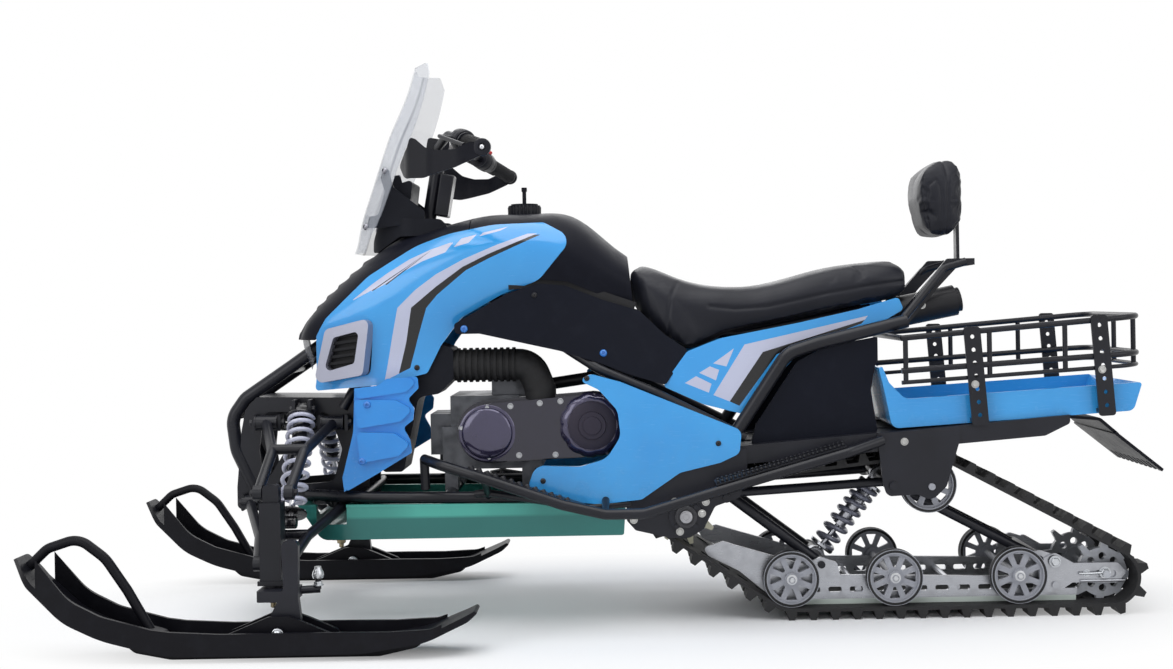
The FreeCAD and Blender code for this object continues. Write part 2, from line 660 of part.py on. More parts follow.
def lower_arm():
    y = size.arm_inner_y
    r = size.arm_tube_radius
    bushes = [Part.makeCylinder(size.bush_radius, 48 - 8, V(x - 20, y, z), X_AXIS)
              for x, z in ((889, 296), (650, 295))]
    legs = [tube([(889, y + 8, 294), (822, 300, 240), (803, 394, 200)], r, [0, 60, 0]),
            tube([(650, y + 8, 293), (712, 300, 240), (729, 394, 200)], r, [0, 60, 0])]
    bar = tube([(824, 296, 243), (710, 296, 243)], r)
    eyes = [Part.makeCylinder(17, 16, V(x, size.kingpin_y, 196), X_AXIS) for x in (795, 721)]
    return together(bushes + legs + [bar] + eyes)


upper, lower = upper_arm(), lower_arm()

# Spindle housings with the through bolts that hold them to the arms
def make_housing():
    x, y, w = size.kingpin_x, size.kingpin_y, size.housing_width / 2
    block = box(x - w, x + w, y - w, y + w, size.housing_bottom_z, size.housing_top_z)
    flange = box(x - w - 5, x + w + 5, y - w - 3, y + w + 3, size.housing_bottom_z, size.housing_bottom_z + 10)
    top = side_slab([(x - 18, size.housing_top_z - 4), (x + 18, size.housing_top_z - 4), (x + 18, 355, 17),
                     (x + 18, 373, 17), (x - 18, 373, 17), (x - 18, 355)], y - 14, y + 14)
    return together([block, flange, top])


kingpin_bore = Part.makeCylinder(size.kingpin_radius + 0.05, 260, V(size.kingpin_x, size.kingpin_y, 90), Z_AXIS)
housing = make_housing()

# Front shocks between the bulkhead and the lower arms
front_top, front_foot = V(757, 122, 522), V(752, 296, 272)


def make_front_shock():
    body, spring = shock(V(0, 0, 0), V(0, 0, -(front_foot - front_top).Length), size.shock_spring_radius,
                         size.shock_wire_radius, 8, 15, 30)
    whole = together([body, spring])
    whole.Placement = FreeCAD.Placement(front_top, FreeCAD.Rotation(V(0, 0, -1), front_foot - front_top)).multiply(
        FreeCAD.Placement(ORIGIN, FreeCAD.Rotation(Z_AXIS, 90)))
    return whole


front_shock = make_front_shock()


# Knuckle: the kingpin, its foot plate, the leg down to the ski and the steering arm
ski_y = size.ski_stance / 2
bolt_x, bolt_z = 739.0, 56.0
sole_z = 15.0


def make_knuckle():
    x, y = size.kingpin_x, size.kingpin_y
    top = size.housing_top_z - 6
    pin = Part.makeCylinder(size.kingpin_radius, top - 118, V(x, y, 118), Z_AXIS)
    washer = Part.makeCylinder(21, 6 - 0.1, V(x, y, size.housing_bottom_z - 6), Z_AXIS)
    plate = box(x - 62, x + 24, y - 22, ski_y + 12, 120, size.housing_bottom_z - 6)
    plate = plate.makeFillet(8, [e for e in plate.Edges if abs(e.tangentAt(0).z) > 0.9])
    leg = side_slab([(698, 256, 14), (736, 256, 14), (732, 150, 20), (776, 62, 10), (752, 42, 14), (724, 42, 14),
                     (692, 60, 10), (700, 130, 20)], ski_y - 6, ski_y + 12)
    foot = side_slab([(768, 76, 10), (762, 41, 14), (716, 41, 14), (708, 76, 10)], ski_y - 20, ski_y + 20)
    arm = tube([(x - 30, y - 6, 132), (x - 100, y - 26, 132)], 9)
    stud = Part.makeCylinder(7, 26, V(x - 96, y - 24, 132), Z_AXIS)
    knuckle = together([pin, washer, plate, leg, foot, arm, stud])
    return knuckle.cut(disc(bolt_x, bolt_z, 8.05, ski_y - 60, ski_y + 60))


def make_ski():
    w = size.ski_width / 2
    low, t = sole_z, size.ski_thickness
    sole_line = [(1324, 226), (1286, 171, 60), (1206, 94, 150), (1120, 53, 300), (976, low, 300), (552, low, 300),
                 (414, 36, 200), (322, 76, 60), (302, 94, 6)]
    top_line = [(308, 99, 6), (330, 88, 40), (417, 50, 200), (555, low + t, 300), (974, low + t, 300), (1114, 67, 300),
                (1196, 106, 150), (1274, 179, 60), (1312, 232, 6)]
    sole = side_slab(sole_line + top_line, ski_y - w, ski_y + w)
    wall_line = [(1312, 236, 6), (1270, 240, 10), (1190, 142, 120), (1118, 105, 100), (1010, 75, 60), (968, 69, 40),
                 (860, 63, 60), (600, 63, 60), (494, 62, 60), (400, 66, 60), (326, 94, 20), (302, 98, 4)]
    walls = []
    for y in (ski_y - w, ski_y + w - 9):
        walls.append(side_slab(sole_line + wall_line[::-1], y, y + 9))
    saddles = []
    for y in (ski_y - 32, ski_y + 21):
        saddles.append(side_slab([(600, low + 5), (620, 52, 20), (680, 78, 20), (716, 92, 16), (762, 92, 16),
                                  (796, 78, 20), (860, 52, 20), (880, low + 5)], y, y + 11))
    keel = side_slab([(416, 40), (436, 18, 30), (520, 0, 40), (980, 0, 60), (1060, 16, 30), (1104, 56),
                      (976, low + t - 3), (552, low + t - 3)],
                     ski_y - size.keel_width / 2, ski_y + size.keel_width / 2)
    bolt = disc(bolt_x, bolt_z, 8, ski_y - 44, ski_y + 44)
    heads = [disc(bolt_x, bolt_z, 14, ski_y - 44, ski_y - 32), disc(bolt_x, bolt_z, 14, ski_y + 32, ski_y + 44)]
    plan = [V(size.nose_x, ski_y, -40), V(1290, ski_y + w - 12, -40), V(1180, ski_y + w, -40), V(420, ski_y + w, -40),
            V(300, ski_y + w - 26, -40), V(300, ski_y - w + 26, -40), V(420, ski_y - w, -40),
            V(1180, ski_y - w, -40), V(1290, ski_y - w + 12, -40)]
    plan_wire = Part.Wire(rounded_edges(plan, [20, 40, 200, 100, 20, 20, 100, 200, 40], True))
    plan_prism = Part.Face(plan_wire).extrude(V(0, 0, 400))
    shell = together([sole, keel] + walls + saddles).common(plan_prism)
    return together([shell, bolt] + heads)


def make_ski_loop():
    loop = tube([(1298, ski_y, 206), (1256, ski_y, 246), (1187, ski_y, 268), (1128, ski_y, 222), (1080, ski_y, 150),
                 (1022, ski_y, 46)], size.loop_tube_radius, [0, 40, 50, 90, 120, 0])
    foot = side_slab([(990, 20), (994, 58, 12), (1046, 74, 12), (1052, 34)], ski_y - 16, ski_y + 16)
    return together([loop, foot])


knuckle = make_knuckle()
ski = make_ski()
ski_loop = make_ski_loop().cut(ski)

# Steering column and handlebar, built upright and then leaned about the column's foot
lean = size.column_angle


def leaned(shape):
    return turned(shape, Y_AXIS, -lean, column_foot)


def make_bar():
    fx, fz = size.column_foot_x, size.column_foot_z
    high = fz + size.column_height
    half_bar = size.bar_width / 2
    r = size.bar_radius
    column = Part.makeCylinder(size.column_radius, size.column_height + collar_drop, V(fx, 0, fz - collar_drop), Z_AXIS)
    clamp = box(fx - 26, fx + 30, -40, 40, high - 14, high + 24)
    clamp = clamp.makeFillet(8, [e for e in clamp.Edges if abs(e.tangentAt(0).y) > 0.9])
    dial = box(fx - 48, fx - 14, -30, 30, fz + 14, fz + 120)
    dial = dial.makeFillet(4, dial.Edges)
    arm = [(fx, 0, high), (fx, 56, high), (fx - 34, 150, high + 28), (fx - 148, half_bar, high - 11)]
    left = tube(arm, r, [0, 40, 60, 0])
    right = mirror(left)
    end, before = V(*arm[3]), V(*arm[2])
    way = unit(end - before)
    grip = rod(end - way * size.grip_length, end + way * 2, size.grip_radius)
    ring = rod(end - way * (size.grip_length + 8), end - way * size.grip_length, size.grip_radius + 5)
    pod = rod(end - way * (size.grip_length + 62), end - way * (size.grip_length + 12), 24)
    lever_from = end - way * (size.grip_length + 40) + V(24, 0, 0)
    lever = tube([lever_from, lever_from + V(34, 20, 0), end + V(44, -14, 0)], 5, [0, 30, 0])
    half = [left, grip, ring, pod, lever]
    whole = together([column, clamp, dial] + half + [mirror(h) for h in half])
    return leaned(whole), leaned_points(end, way)


def leaned_points(*points):
    turn = FreeCAD.Rotation(Y_AXIS, -lean)
    end = column_foot + turn.multVec(points[0] - column_foot)
    return end, turn.multVec(points[1])


handlebar, (bar_end, bar_way) = make_bar()


def make_guard():
    """A hand guard: a curved shell round the front of the grip, bolted to the bar's end."""
    e = bar_end
    outer = [(-19, 8), (50, 20), (119, 0), (182, -66), (210, -145)]
    inner = [(202, -147), (175, -70), (115, -8), (50, 12), (-19, 2)]
    plan = [V(e.x + x, e.y + y, 0) for x, y in outer + inner]
    wire = Part.Wire(rounded_edges(plan, [2, 60, 60, 60, 3, 3, 54, 52, 52, 2], True))
    wall = Part.Face(wire).extrude(V(0, 0, 120))
    wall.translate(V(0, 0, e.z - 74))
    side = side_slab([(e.x - 19, e.z - 5, 6), (e.x - 15, e.z + 9, 8), (e.x + 27, e.z + 12, 14), (e.x + 60, e.z - 4, 20),
                      (e.x + 99, e.z - 5, 20), (e.x + 130, e.z + 3, 20), (e.x + 156, e.z + 26, 8),
                      (e.x + 171, e.z + 32, 6), (e.x + 180, e.z + 9, 12), (e.x + 209, e.z - 26, 14),
                      (e.x + 190, e.z - 59, 16), (e.x + 137, e.z - 64, 40), (e.x + 60, e.z - 44, 40),
                      (e.x + 10, e.z - 22, 14)], 0, 500)
    guard = wall.common(side)
    cap = disc(e.x, e.z, 13, e.y + 1, e.y + 12)
    return together([guard, cap])


guard = make_guard().cut(handlebar)


# Bodywork: one lofted shell, cut along its seams into the hood, the side fairings and the tank cover
# Each row: X, crown height, shoulder (Y, Z), widest (Y, Z), lower (Y, Z)
SHELL = [(776, 712, 52, 704, 66, 676, 62, 560), (748, 752, 84, 734, 118, 690, 116, 560),
         (704, 796, 112, 774, 150, 706, 152, 552), (632, 862, 134, 826, 172, 720, 172, 540),
         (585, 899, 146, 858, 182, 735, 180, 540), (520, 940, 150, 894, 190, 760, 184, 540),
         (452, 959, 152, 924, 195, 790, 186, 540), (380, 976, 152, 949, 198, 830, 186, 540),
         (300, 992, 148, 968, 198, 860, 184, 560), (200, 994, 140, 974, 192, 870, 180, 560),
         (100, 988, 126, 964, 180, 856, 172, 600), (40, 950, 116, 926, 166, 830, 166, 640),
         (-24, 896, 100, 876, 146, 800, 156, 660), (-64, 852, 92, 836, 130, 780, 146, 680)]


def shell_section(row, inset):
    """One closed cross section of the body shell, set in from the outer face by a wall."""
    x, crown, sy, sz, wy, wz, ly, lz = row
    c, lower = crown - inset, lz - 30
    half = [(0, c), (sy * 0.55, c - (c - sz) * 0.24), (sy - inset * 0.7, sz - inset * 0.8), (wy - inset, wz + (sz - wz) * 0.45),
            (wy - inset, wz), (ly - inset, lz)]
    points = [V(x, -y, z) for y, z in half[:0:-1]] + [V(x, y, z) for y, z in half]
    curve = Part.BSplineCurve()
    curve.interpolate(points)
    ends = [V(x, half[-1][0], lower), V(x, -half[-1][0], lower)]
    edges = [curve.toShape(), Part.LineSegment(points[-1], ends[0]).toShape(),
             Part.LineSegment(ends[0], ends[1]).toShape(), Part.LineSegment(ends[1], points[0]).toShape()]
    return Part.Wire(edges)


def make_shell():
    wall = size.panel_thickness
    outer = Part.makeLoft([shell_section(row, 0) for row in SHELL], True, False)
    rows = [list(row) for row in SHELL]
    rows[0][0] += -wall
    rows[-1][0] -= 6
    inner = Part.makeLoft([shell_section(row, wall) for row in rows], True, False)
    floor = box(-200, 900, -300, 300, 400, 534)
    return outer.cut(inner).cut(floor), inner


shell, shell_inside = make_shell()
WIDE = 320.0

FAIRING = [(716, 700, 16), (690, 742, 20), (640, 790, 80), (585, 842, 60), (468, 914, 200), (388, 942, 200),
           (279, 962, 200), (160, 966, 20), (88, 926, 30), (172, 826, 60), (264, 792, 80), (362, 738, 60),
           (412, 672, 30), (446, 606, 12), (560, 580, 60), (726, 566, 10), (724, 590, 20)]
SIDE_COVER = [(376, 724, 8), (250, 794, 80), (176, 818, 40), (110, 812, 20), (20, 776, 40), (-69, 748, 20),
              (-128, 690, 20), (-186, 650, 10), (-128, 568, 12), (-40, 596, 60), (28, 624, 40), (123, 655, 40),
              (315, 700, 30), (374, 700, 10)]


def grown(points, amount):
    """A side-view outline set out from a panel's edge by a seam."""
    wire = outline(points)
    return Part.Face(wire.makeOffset2D(amount, 0, False, False, True))


def through(points, amount=0.0):
    """A side-view outline taken right through the machine."""
    face = grown(points, amount) if amount else Part.Face(outline(points))
    face.translate(V(0, -WIDE, 0))
    return face.extrude(V(0, 2 * WIDE, 0))


sides_only = Part.makeCompound([box(-300, 900, 92, WIDE, 400, 1100), box(-300, 900, -WIDE, -92, 400, 1100)])
fairing_zone = through(FAIRING).common(sides_only)
fairing_gap = through(FAIRING, size.seam).common(sides_only)
lamp_hole = through([(770, 640, 10), (770, 704, 10), (742, 710, 10), (734, 640, 10), (740, 584, 10), (770, 576, 10)])
grille_hole = through([(676, 712, 20), (578, 733, 12), (597, 619, 12), (716, 593, 20)])
grille_hole = grille_hole.common(sides_only)
side_fairings = shell.common(fairing_zone)
hood_split = box(340, 900, -WIDE, WIDE, 400, 1100)
hood_bottom = through([(800, 690), (720, 690), (640, 780), (560, 840), (330, 940), (330, 1100), (800, 1100)])
hood_cover = shell.common(hood_bottom).common(hood_split).cut(fairing_gap)
tank_zone = through([(338, 1100), (-70, 1100), (-70, 800, 4), (-66, 756, 10), (20, 786, 30), (106, 822, 20), (176, 828, 20),
                     (300, 828), (338, 900)])
tank_cover = shell.common(tank_zone).cut(fairing_gap)
seat_gap = through([(-40, 900), (-90, 900), (-90, 740), (-56, 740)])
tank_cover = tank_cover.cut(seat_gap)

# Nose: lamps, grille frames with their louvres, and the stepped lower fairings
lamp = shell_inside.common(through([(728, 642, 8), (745, 706, 12), (776, 706, 4), (776, 576, 4), (748, 580, 10)]))
lamp = lamp.common(Part.makeCompound([box(600, 900, 100, 170, 400, 900), box(600, 900, -170, -100, 400, 900)]))


frame_outline = [(690, 716, 18), (570, 742, 14), (590, 606, 14), (724, 584, 18)]
frame_inner = [(668, 696, 12), (598, 712, 10), (612, 634, 10), (696, 612, 12)]


def grille_slab(points, deep, proud):
    """A slab whose outer face lies parallel to the nose's flank, on the left side."""
    slab = side_slab(points, 120 - deep, 120 + proud)
    return slab


def flank(shape):
    """Turns a slab made at Y = 120 so that it follows the nose's flank, which narrows forward."""
    turned_in = turned(shape, Z_AXIS, -19.0, V(640, 120, 0))
    turned_in.translate(V(0, 54, 0))
    return turned_in


grille_frame = flank(grille_slab(frame_outline, 20, 9).cut(grille_slab(frame_inner, 30, 12)))
grille_room = pair(flank(grille_slab(frame_outline, 60, 40)))
side_fairings = side_fairings.cut(grille_room)
grille_back = grille_slab(frame_inner, 26, -14)
louvres = []
for i in range(5):
    z = 636 + i * 16
    bar = side_slab([(560, z + 8), (740, z - 14), (740, z - 7), (560, z + 15)], 120 - 16, 120 - 2)
    louvres.append(bar.common(grille_slab(frame_inner, 30, 12)))
grille_insert = flank(together([grille_back] + louvres))

STEPS = [(618, 574, 8), (560, 580, 20), (540, 596, 10), (466, 600, 8), (464, 572, 8), (490, 546, 10), (475, 524, 8),
         (478, 496, 8), (502, 478, 10), (486, 448, 8), (482, 418, 8), (560, 372, 60), (646, 324, 10), (650, 360, 20),
         (622, 470, 80)]
lower_fairing = side_slab(STEPS, 182, 188)
steps = []
for low, high, y0 in (((462, 566), (620, 604), 194), ((476, 496), (618, 548), 199), ((482, 414), (612, 470), 204)):
    x1, z1 = low
    x2, z2 = high
    steps.append(side_slab([(x1 + 2, z1 + 26, 10), (x1 + 30, z1 - 2, 10), (x2 - 8, z1 - 18, 12), (x2, z2, 12),
                            (x1 + 40, z2 - 4, 12)], 180, y0).common(side_slab(STEPS, 150, 260)))
front_return = side_slab([(618, 574), (604, 574), (612, 470), (632, 340), (646, 326), (650, 360), (622, 470)], 130, 188)
lower_fairing = together([lower_fairing, front_return] + steps)

# Side covers between the tank and the foot well, bowed slightly outward
cover_shell = Part.makeLoft([Part.Wire(Part.makePolygon([V(x, y, 540), V(x, y2, 840), V(x, y2 - 5, 840), V(x, y - 5, 540),
                                                        V(x, y, 540)]))
                             for x, y, y2 in ((-200, 168, 128), (-60, 186, 140), (120, 198, 174), (260, 200, 190),
                                              (380, 198, 190))], True, False)
side_cover = side_slab(SIDE_COVER, 100, 260).common(cover_shell)

# Foot-well panels: the large lower side panels, cut out round the belt-drive cover
WELL = [(80, 586, 10), (50, 600, 20), (-20, 580, 60), (-306, 460, 20), (-300, 405, 20), (-254, 384, 30),
        (-158, 362, 30), (-66, 300, 16), (33, 290, 40), (129, 300, 60), (206, 330, 20), (186, 384, 30), (80, 380, 40),
        (16, 398, 50), (-18, 450, 40), (-12, 512, 40), (32, 562, 30)]
well_panel = side_slab(WELL, 213, 217)
rim_out = side_slab(WELL, 203, 217).cut(through(WELL, -6))
well_panel = together([well_panel, rim_out])

# Engine block, belt-drive case, intake duct, air box and oil cooler
engine = together([box(176, 420, -130, 96, 366, 470), box(230, 400, -120, 90, 460, 545),
                   box(330, 452, -70, 70, 400, 500), box(210, 300, -60, 60, 540, 590),
                   disc(304, 459, 62, 90, 110)] + [box(x - 16, x + 16, y - 22, y + 22, 314, 370)
                                                   for x in (210, 400) for y in (-70, 70)])


def make_transmission():
    rear, front = V(50, 0, 474), V(304, 0, 459)
    body = together([disc(rear.x, rear.z, 74, 110, 158), disc(front.x, front.z, 70, 110, 158),
                     side_slab([(46, 400), (52, 548), (306, 529), (302, 389)], 110, 158)])
    lip = together([disc(rear.x, rear.z, 80, 110, 124), disc(front.x, front.z, 76, 110, 124),
                    side_slab([(46, 394), (52, 554), (306, 535), (302, 383)], 110, 124)])
    boss = disc(rear.x, rear.z, 58, 150, 172).fuse(disc(rear.x, rear.z, 30, 160, 178))
    nose = disc(front.x, front.z, 44, 150, 168)
    return together([body, lip, boss, nose])


transmission = make_transmission()
duct = tube([(384, 112, 622), (200, 112, 622), (176, 112, 560), (176, 112, 538)], 38, [0, 42, 20, 0])
rings = [Part.makeCylinder(42, 7, V(x, 112, 622), X_AXIS) for x in range(236, 372, 15)]
duct = together([duct] + rings)
air_box = side_slab([(495, 673, 14), (419, 676, 14), (384, 664, 14), (384, 590, 14), (421, 555, 10), (470, 548, 20),
                     (509, 368, 10), (560, 368, 10), (560, 673, 14)], 20, 150)
cooler_edge = size.bulkhead_y - 5
cooler = together([box(668, 676, 12, cooler_edge, 330, 460)] + [box(664, 680, 12, cooler_edge, z, z + 3)
                                                                for z in range(332, 460, 8)])

# Fuel cap with its vent stub
cap_x = 215.0
cap = together([Part.makeCylinder(40, 26, V(cap_x, 0, 990), Z_AXIS), Part.makeCylinder(34, 8, V(cap_x, 0, 1012), Z_AXIS),
                Part.makeCylinder(5, 44, V(cap_x, 0, 1015), Z_AXIS), Part.makeCylinder(7, 10, V(cap_x, 0, 1052), Z_AXIS)])
cap = cap.cut(shell_inside)
tank_cover = tank_cover.cut(Part.makeCylinder(40.1, 80, V(cap_x, 0, 960), Z_AXIS))

# Seat: lofted sections from the tank to the tail; row: X, crown, edge Z, half-width, underside
SEAT = [(-58, 852, 806, 92, 790), (-96, 860, 800, 112, 756), (-174, 822, 760, 132, 706), (-274, 801, 742, 142, 690),
        (-337, 800, 742, 145, 700), (-451, 822, 764, 145, 722), (-527, 841, 780, 143, 738), (-640, 855, 800, 136, 760),
        (-702, 856, 806, 126, 772), (-734, 846, 806, 112, 786)]


def seat_section(row):
    x, crown, edge, half, under = row
    rise = crown - edge
    right = [(0, crown), (half * 0.55, crown - rise * 0.05), (half * 0.88, crown - rise * 0.34), (half, edge),
             (half * 0.98, (edge + under) / 2), (half * 0.93, under)]
    points = [V(x, -y, z) for y, z in right[:0:-1]] + [V(x, y, z) for y, z in right]
    curve = Part.BSplineCurve()
    curve.interpolate(points)
    return Part.Wire([curve.toShape(), Part.LineSegment(points[-1], points[0]).toShape()])


seat = Part.makeLoft([seat_section(row) for row in SEAT], True, False)

# Tail panels beside the seat
TAIL = [(-120, 566, 10), (-182, 648, 20), (-262, 678, 60), (-454, 712, 200), (-600, 742, 60), (-700, 770, 10), (-712, 740, 10),
        (-640, 700, 60), (-453, 642, 80), (-342, 516, 30), (-318, 494, 14), (-220, 520, 60)]
tail_skin = Part.makeLoft([Part.Wire(Part.makePolygon([V(x, y, 480), V(x, y2, 800), V(x, y2 - 5, 800), V(x, y - 5, 480),
                                                      V(x, y, 480)]))
                           for x, y, y2 in ((-100, 178, 142), (-250, 176, 150), (-450, 160, 142), (-720, 142, 128))], True, False)
tail_panel = side_slab(TAIL, 90, 260).common(tail_skin)

# Inner rear fender between the tail panels and the tunnel
FENDER = [(-330, 418, 10), (-344, 470, 20), (-446, 620, 40), (-520, 655, 30), (-640, 676, 8), (-640, 640, 10),
          (-622, 548, 20), (-636, 450, 10), (-630, 441)]
fender = side_slab(FENDER, 167, 172)

# Exhaust silencer under the seat's tail
silencer_front, silencer_rear = V(-690, 62, 729), V(-852, 62, 760)
silencer_way = unit(silencer_rear - silencer_front)
silencer = together([rod(silencer_front, silencer_rear, 38), rod(silencer_rear, silencer_rear + silencer_way * 12, 30)])
exhaust_pipe = tube([(-712, 50, 732), (-600, 30, 722), (-440, 20, 693), (-300, 10, 650), (-100, 0, 602),
                     (160, 0, 566), (240, 0, 566)], 15, [0, 80, 200, 200, 200, 60, 0])
silencer = together([silencer, exhaust_pipe])
outlet = rod(silencer_rear - silencer_way * 12, silencer_rear + silencer_way * 40, 15)
silencer = silencer.cut(outlet)

# Belly pan: an open tray under the engine with a turned-out top edge
def make_belly():
    w = size.belly_width / 2
    outside = [(752, 296), (728, 236, 20), (700, 214, 20), (-16, 214, 6), (-26, 292, 4), (60, 292), (60, 288)]
    body = side_slab([(756, 298), (700, 213, 30), (-22, 213, 6), (-28, 292)], -w, w)
    hollow = side_slab([(750, 320), (698, 216, 30), (-19, 216, 4), (-24, 320)], -w + 3, w - 3)
    pan = body.cut(hollow)
    ledge = side_slab([(756, 298), (752, 292), (-26, 286), (-28, 290)], w - 12, w + 4)
    pan = together([pan, ledge, mirror(ledge)])
    notch = box(560, 800, -104, 104, 262, 340)
    arm_notch = box(640, 712, -220, 220, 250, 340)
    return pan.cut([notch, arm_notch])


belly = make_belly()

# Front bumper: two bent tubes with cross bars
bumper_line = [(689, 0, 696), (791, 0, 625), (906, 0, 548), (940, 0, 500), (930, 0, 420), (884, 0, 322)]
left_tube = tube([(x, size.bumper_y, z) for x, y, z in bumper_line], size.bumper_tube_radius, [0, 200, 50, 60, 80, 0])
crossbars = [rod(V(x, -size.bumper_y, z), V(x, size.bumper_y, z), 12) for x, z in ((800, 618), (936, 505), (893, 345))]
bumper = together([left_tube, mirror(left_tube)] + crossbars)

# Cargo tray, rack and snow flap


def make_tray():
    w, t = size.tray_width / 2, size.tray_wall
    solid = side_slab([(-668, 456, 20), (-1246, 489, 20), (-1268, 557, 6), (-700, 526, 30), (-662, 566, 20),
                       (-646, 606, 4), (-638, 600, 4), (-652, 540, 20)], -w, w)
    hollow = side_slab([(-678, 462, 14), (-1242, 494, 16), (-1262, 557), (-1268, 620), (-690, 620), (-671, 560, 20)],
                       -w + t, w - t)
    tray = solid.cut(hollow)
    return tray


def tray_z(x, raise_by=0.0):
    return 457 + (-680 - x) * 33 / 567 + raise_by


tray = make_tray()


def ring_at(z_front, z_rear, y, r, corner=60):
    """A rack hoop: out from the front left, round the back and forward on the right."""
    x1, x2 = -690, -1266
    return tube([(x1, y, z_front), (x2, y, z_rear), (x2, -y, z_rear), (x1, -y, z_front)], r, [0, corner, corner, 0])


def make_rack():
    y, r = size.rack_y + 8, size.rack_tube_radius
    hoops = [ring_at(672, 716, y, r), ring_at(594, 628, y, r), ring_at(566, 600, y, 5)]
    posts = []
    for x in (-700, -900, -1080):
        z1, z2 = 672 + (-690 - x) * 44 / 576, 566 + (-690 - x) * 34 / 576
        posts.append(tube([(x, y, z1), (x, y, z2)], 6))
    rear = [tube([(-1266, yy, 716), (-1266, yy, 600)], 6) for yy in (-140, 0, 140)]
    front = tube([(-694, -y, 672), (-694, y, 672)], r)
    straps = []
    t = size.strap_thickness
    for x in (-856, -1158):
        z1 = 672 + (-690 - x) * 44 / 576
        top, low = V(x, y + r - 2, z1), V(x - 14, 196, tray_z(x) - 5)
        strap = side_slab([(x - 20, z1 + 12, 8), (x + 20, z1 + 12, 8), (x + 2, tray_z(x) - 6, 8), (x - 38, tray_z(x) - 4, 8)],
                          y + r - 1, y + r + t)
        holes = []
        for i in range(7):
            f = (i + 0.5) / 7
            holes.append(disc(x - 18 * f * 1.0 - 0, z1 + 4 - f * (z1 - tray_z(x)), 5, y - 30, y + 30))
        foot = box(x - 36, x + 2, 193, y + r + 1, tray_z(x) + 2, tray_z(x) + 12)
        straps.append(together([strap.cut(holes), foot]))
        straps.append(mirror(straps[-1]))
    return together(hoops + posts + [mirror(p) for p in posts] + rear + [front] + straps)


rack = make_rack()


def make_flap():
    z1, z2 = tunnel_z(-1040), tunnel_z(-1088)
    upper = side_slab([(-1040, z1), (-1088, z2), (-1180, 470, 20), (-1226, 430, 10), (-1220, 425),
                       (-1176, 463, 20), (-1088, z2 - 7, 10), (-1040, z1 - 7)], -150, 150)
    lower = side_slab([(-1214, 437), (-1328, 344), (-1324, 338), (-1210, 430)], -160, 160)
    notches = [box(-1340, -1296, y - 8, y + 8, 300, 372) for y in range(-128, 129, 32)]
    return together([upper, lower.cut(notches)])


flap = make_flap()

# Backrest: a padded board on a bent bracket
pad_back = -869.0


def make_pad():
    w = size.backrest_width / 2
    profile = [(pad_back, 944, 30), (pad_back, 1092, 14), (-852, 1117, 16), (-815, 1113, 30), (-772, 1081, 20),
               (-765, 1020, 80), (-787, 916, 20), (-837, 912, 20)]
    slab = side_slab(profile, -w, w)
    face = [V(-950, -w + 10, 912), V(-950, -w, 1000), V(-950, -w, 1070), V(-950, -w + 26, 1118), V(-950, w - 26, 1118),
            V(-950, w, 1070), V(-950, w, 1000), V(-950, w - 10, 912)]
    wire = Part.Wire(rounded_edges(face, [26, 60, 60, 40, 40, 60, 60, 26], True))
    return slab.common(Part.Face(wire).extrude(V(300, 0, 0)))


pad = make_pad()


def make_backrest_frame():
    stem = box(pad_back - 8, pad_back, -15, 15, 858, 1040)
    stem_back = box(pad_back - 6, pad_back, -40, 40, 960, 1030)
    nut = Part.makeCylinder(9, 16, V(pad_back - 16, 0, 1004), X_AXIS)
    bridge = box(-890, -866, -118, 118, 846, 862)
    sides = side_slab([(-890, 862, 6), (-822, 862, 10), (-700, 724, 10), (-722, 700, 10), (-800, 792, 10), (-846, 840, 10),
                       (-890, 846, 6)], 112, 118)
    tubes = tube([(-868, 118, 854), (-815, 118, 840), (-706, 150, 716)], 10, [0, 30, 0])
    return together([stem, stem_back, nut, bridge, sides, mirror(sides), tubes, mirror(tubes)])


backrest_frame = make_backrest_frame()

# Windshield: a clear sheet of three flat panels with soft creases between them
# Each row: height, the front panel's X, the rear edge's X, half-width
SCREEN = [(900, 636, 600, 116), (958, 619, 572, 138), (1040, 593, 536, 150), (1110, 569, 509, 155),
          (1200, 537, 470, 156), (1290, 497, 441, 154), (1345, 480, 429, 150), (1370, 472, 424, 147)]


cowl_rear_x = 360.0


def screen_line(row, inset):
    """The plan line of the screen at one height, set in from its outer face, from right to left."""
    z, front_x, edge_x, half = row
    crease = half * size.screen_crease
    swing = math.atan2(front_x - edge_x, half - crease)
    edge = (edge_x - inset * math.cos(swing), half - inset * math.sin(swing))
    bend = (front_x - inset, crease - inset * math.tan(swing / 2))
    points = [V(edge[0], -edge[1], z), V(bend[0], -bend[1], z), V(bend[0], bend[1], z), V(edge[0], edge[1], z)]
    radius = 34.0 - inset
    return points, rounded_edges(points, [0, radius, radius, 0], False)


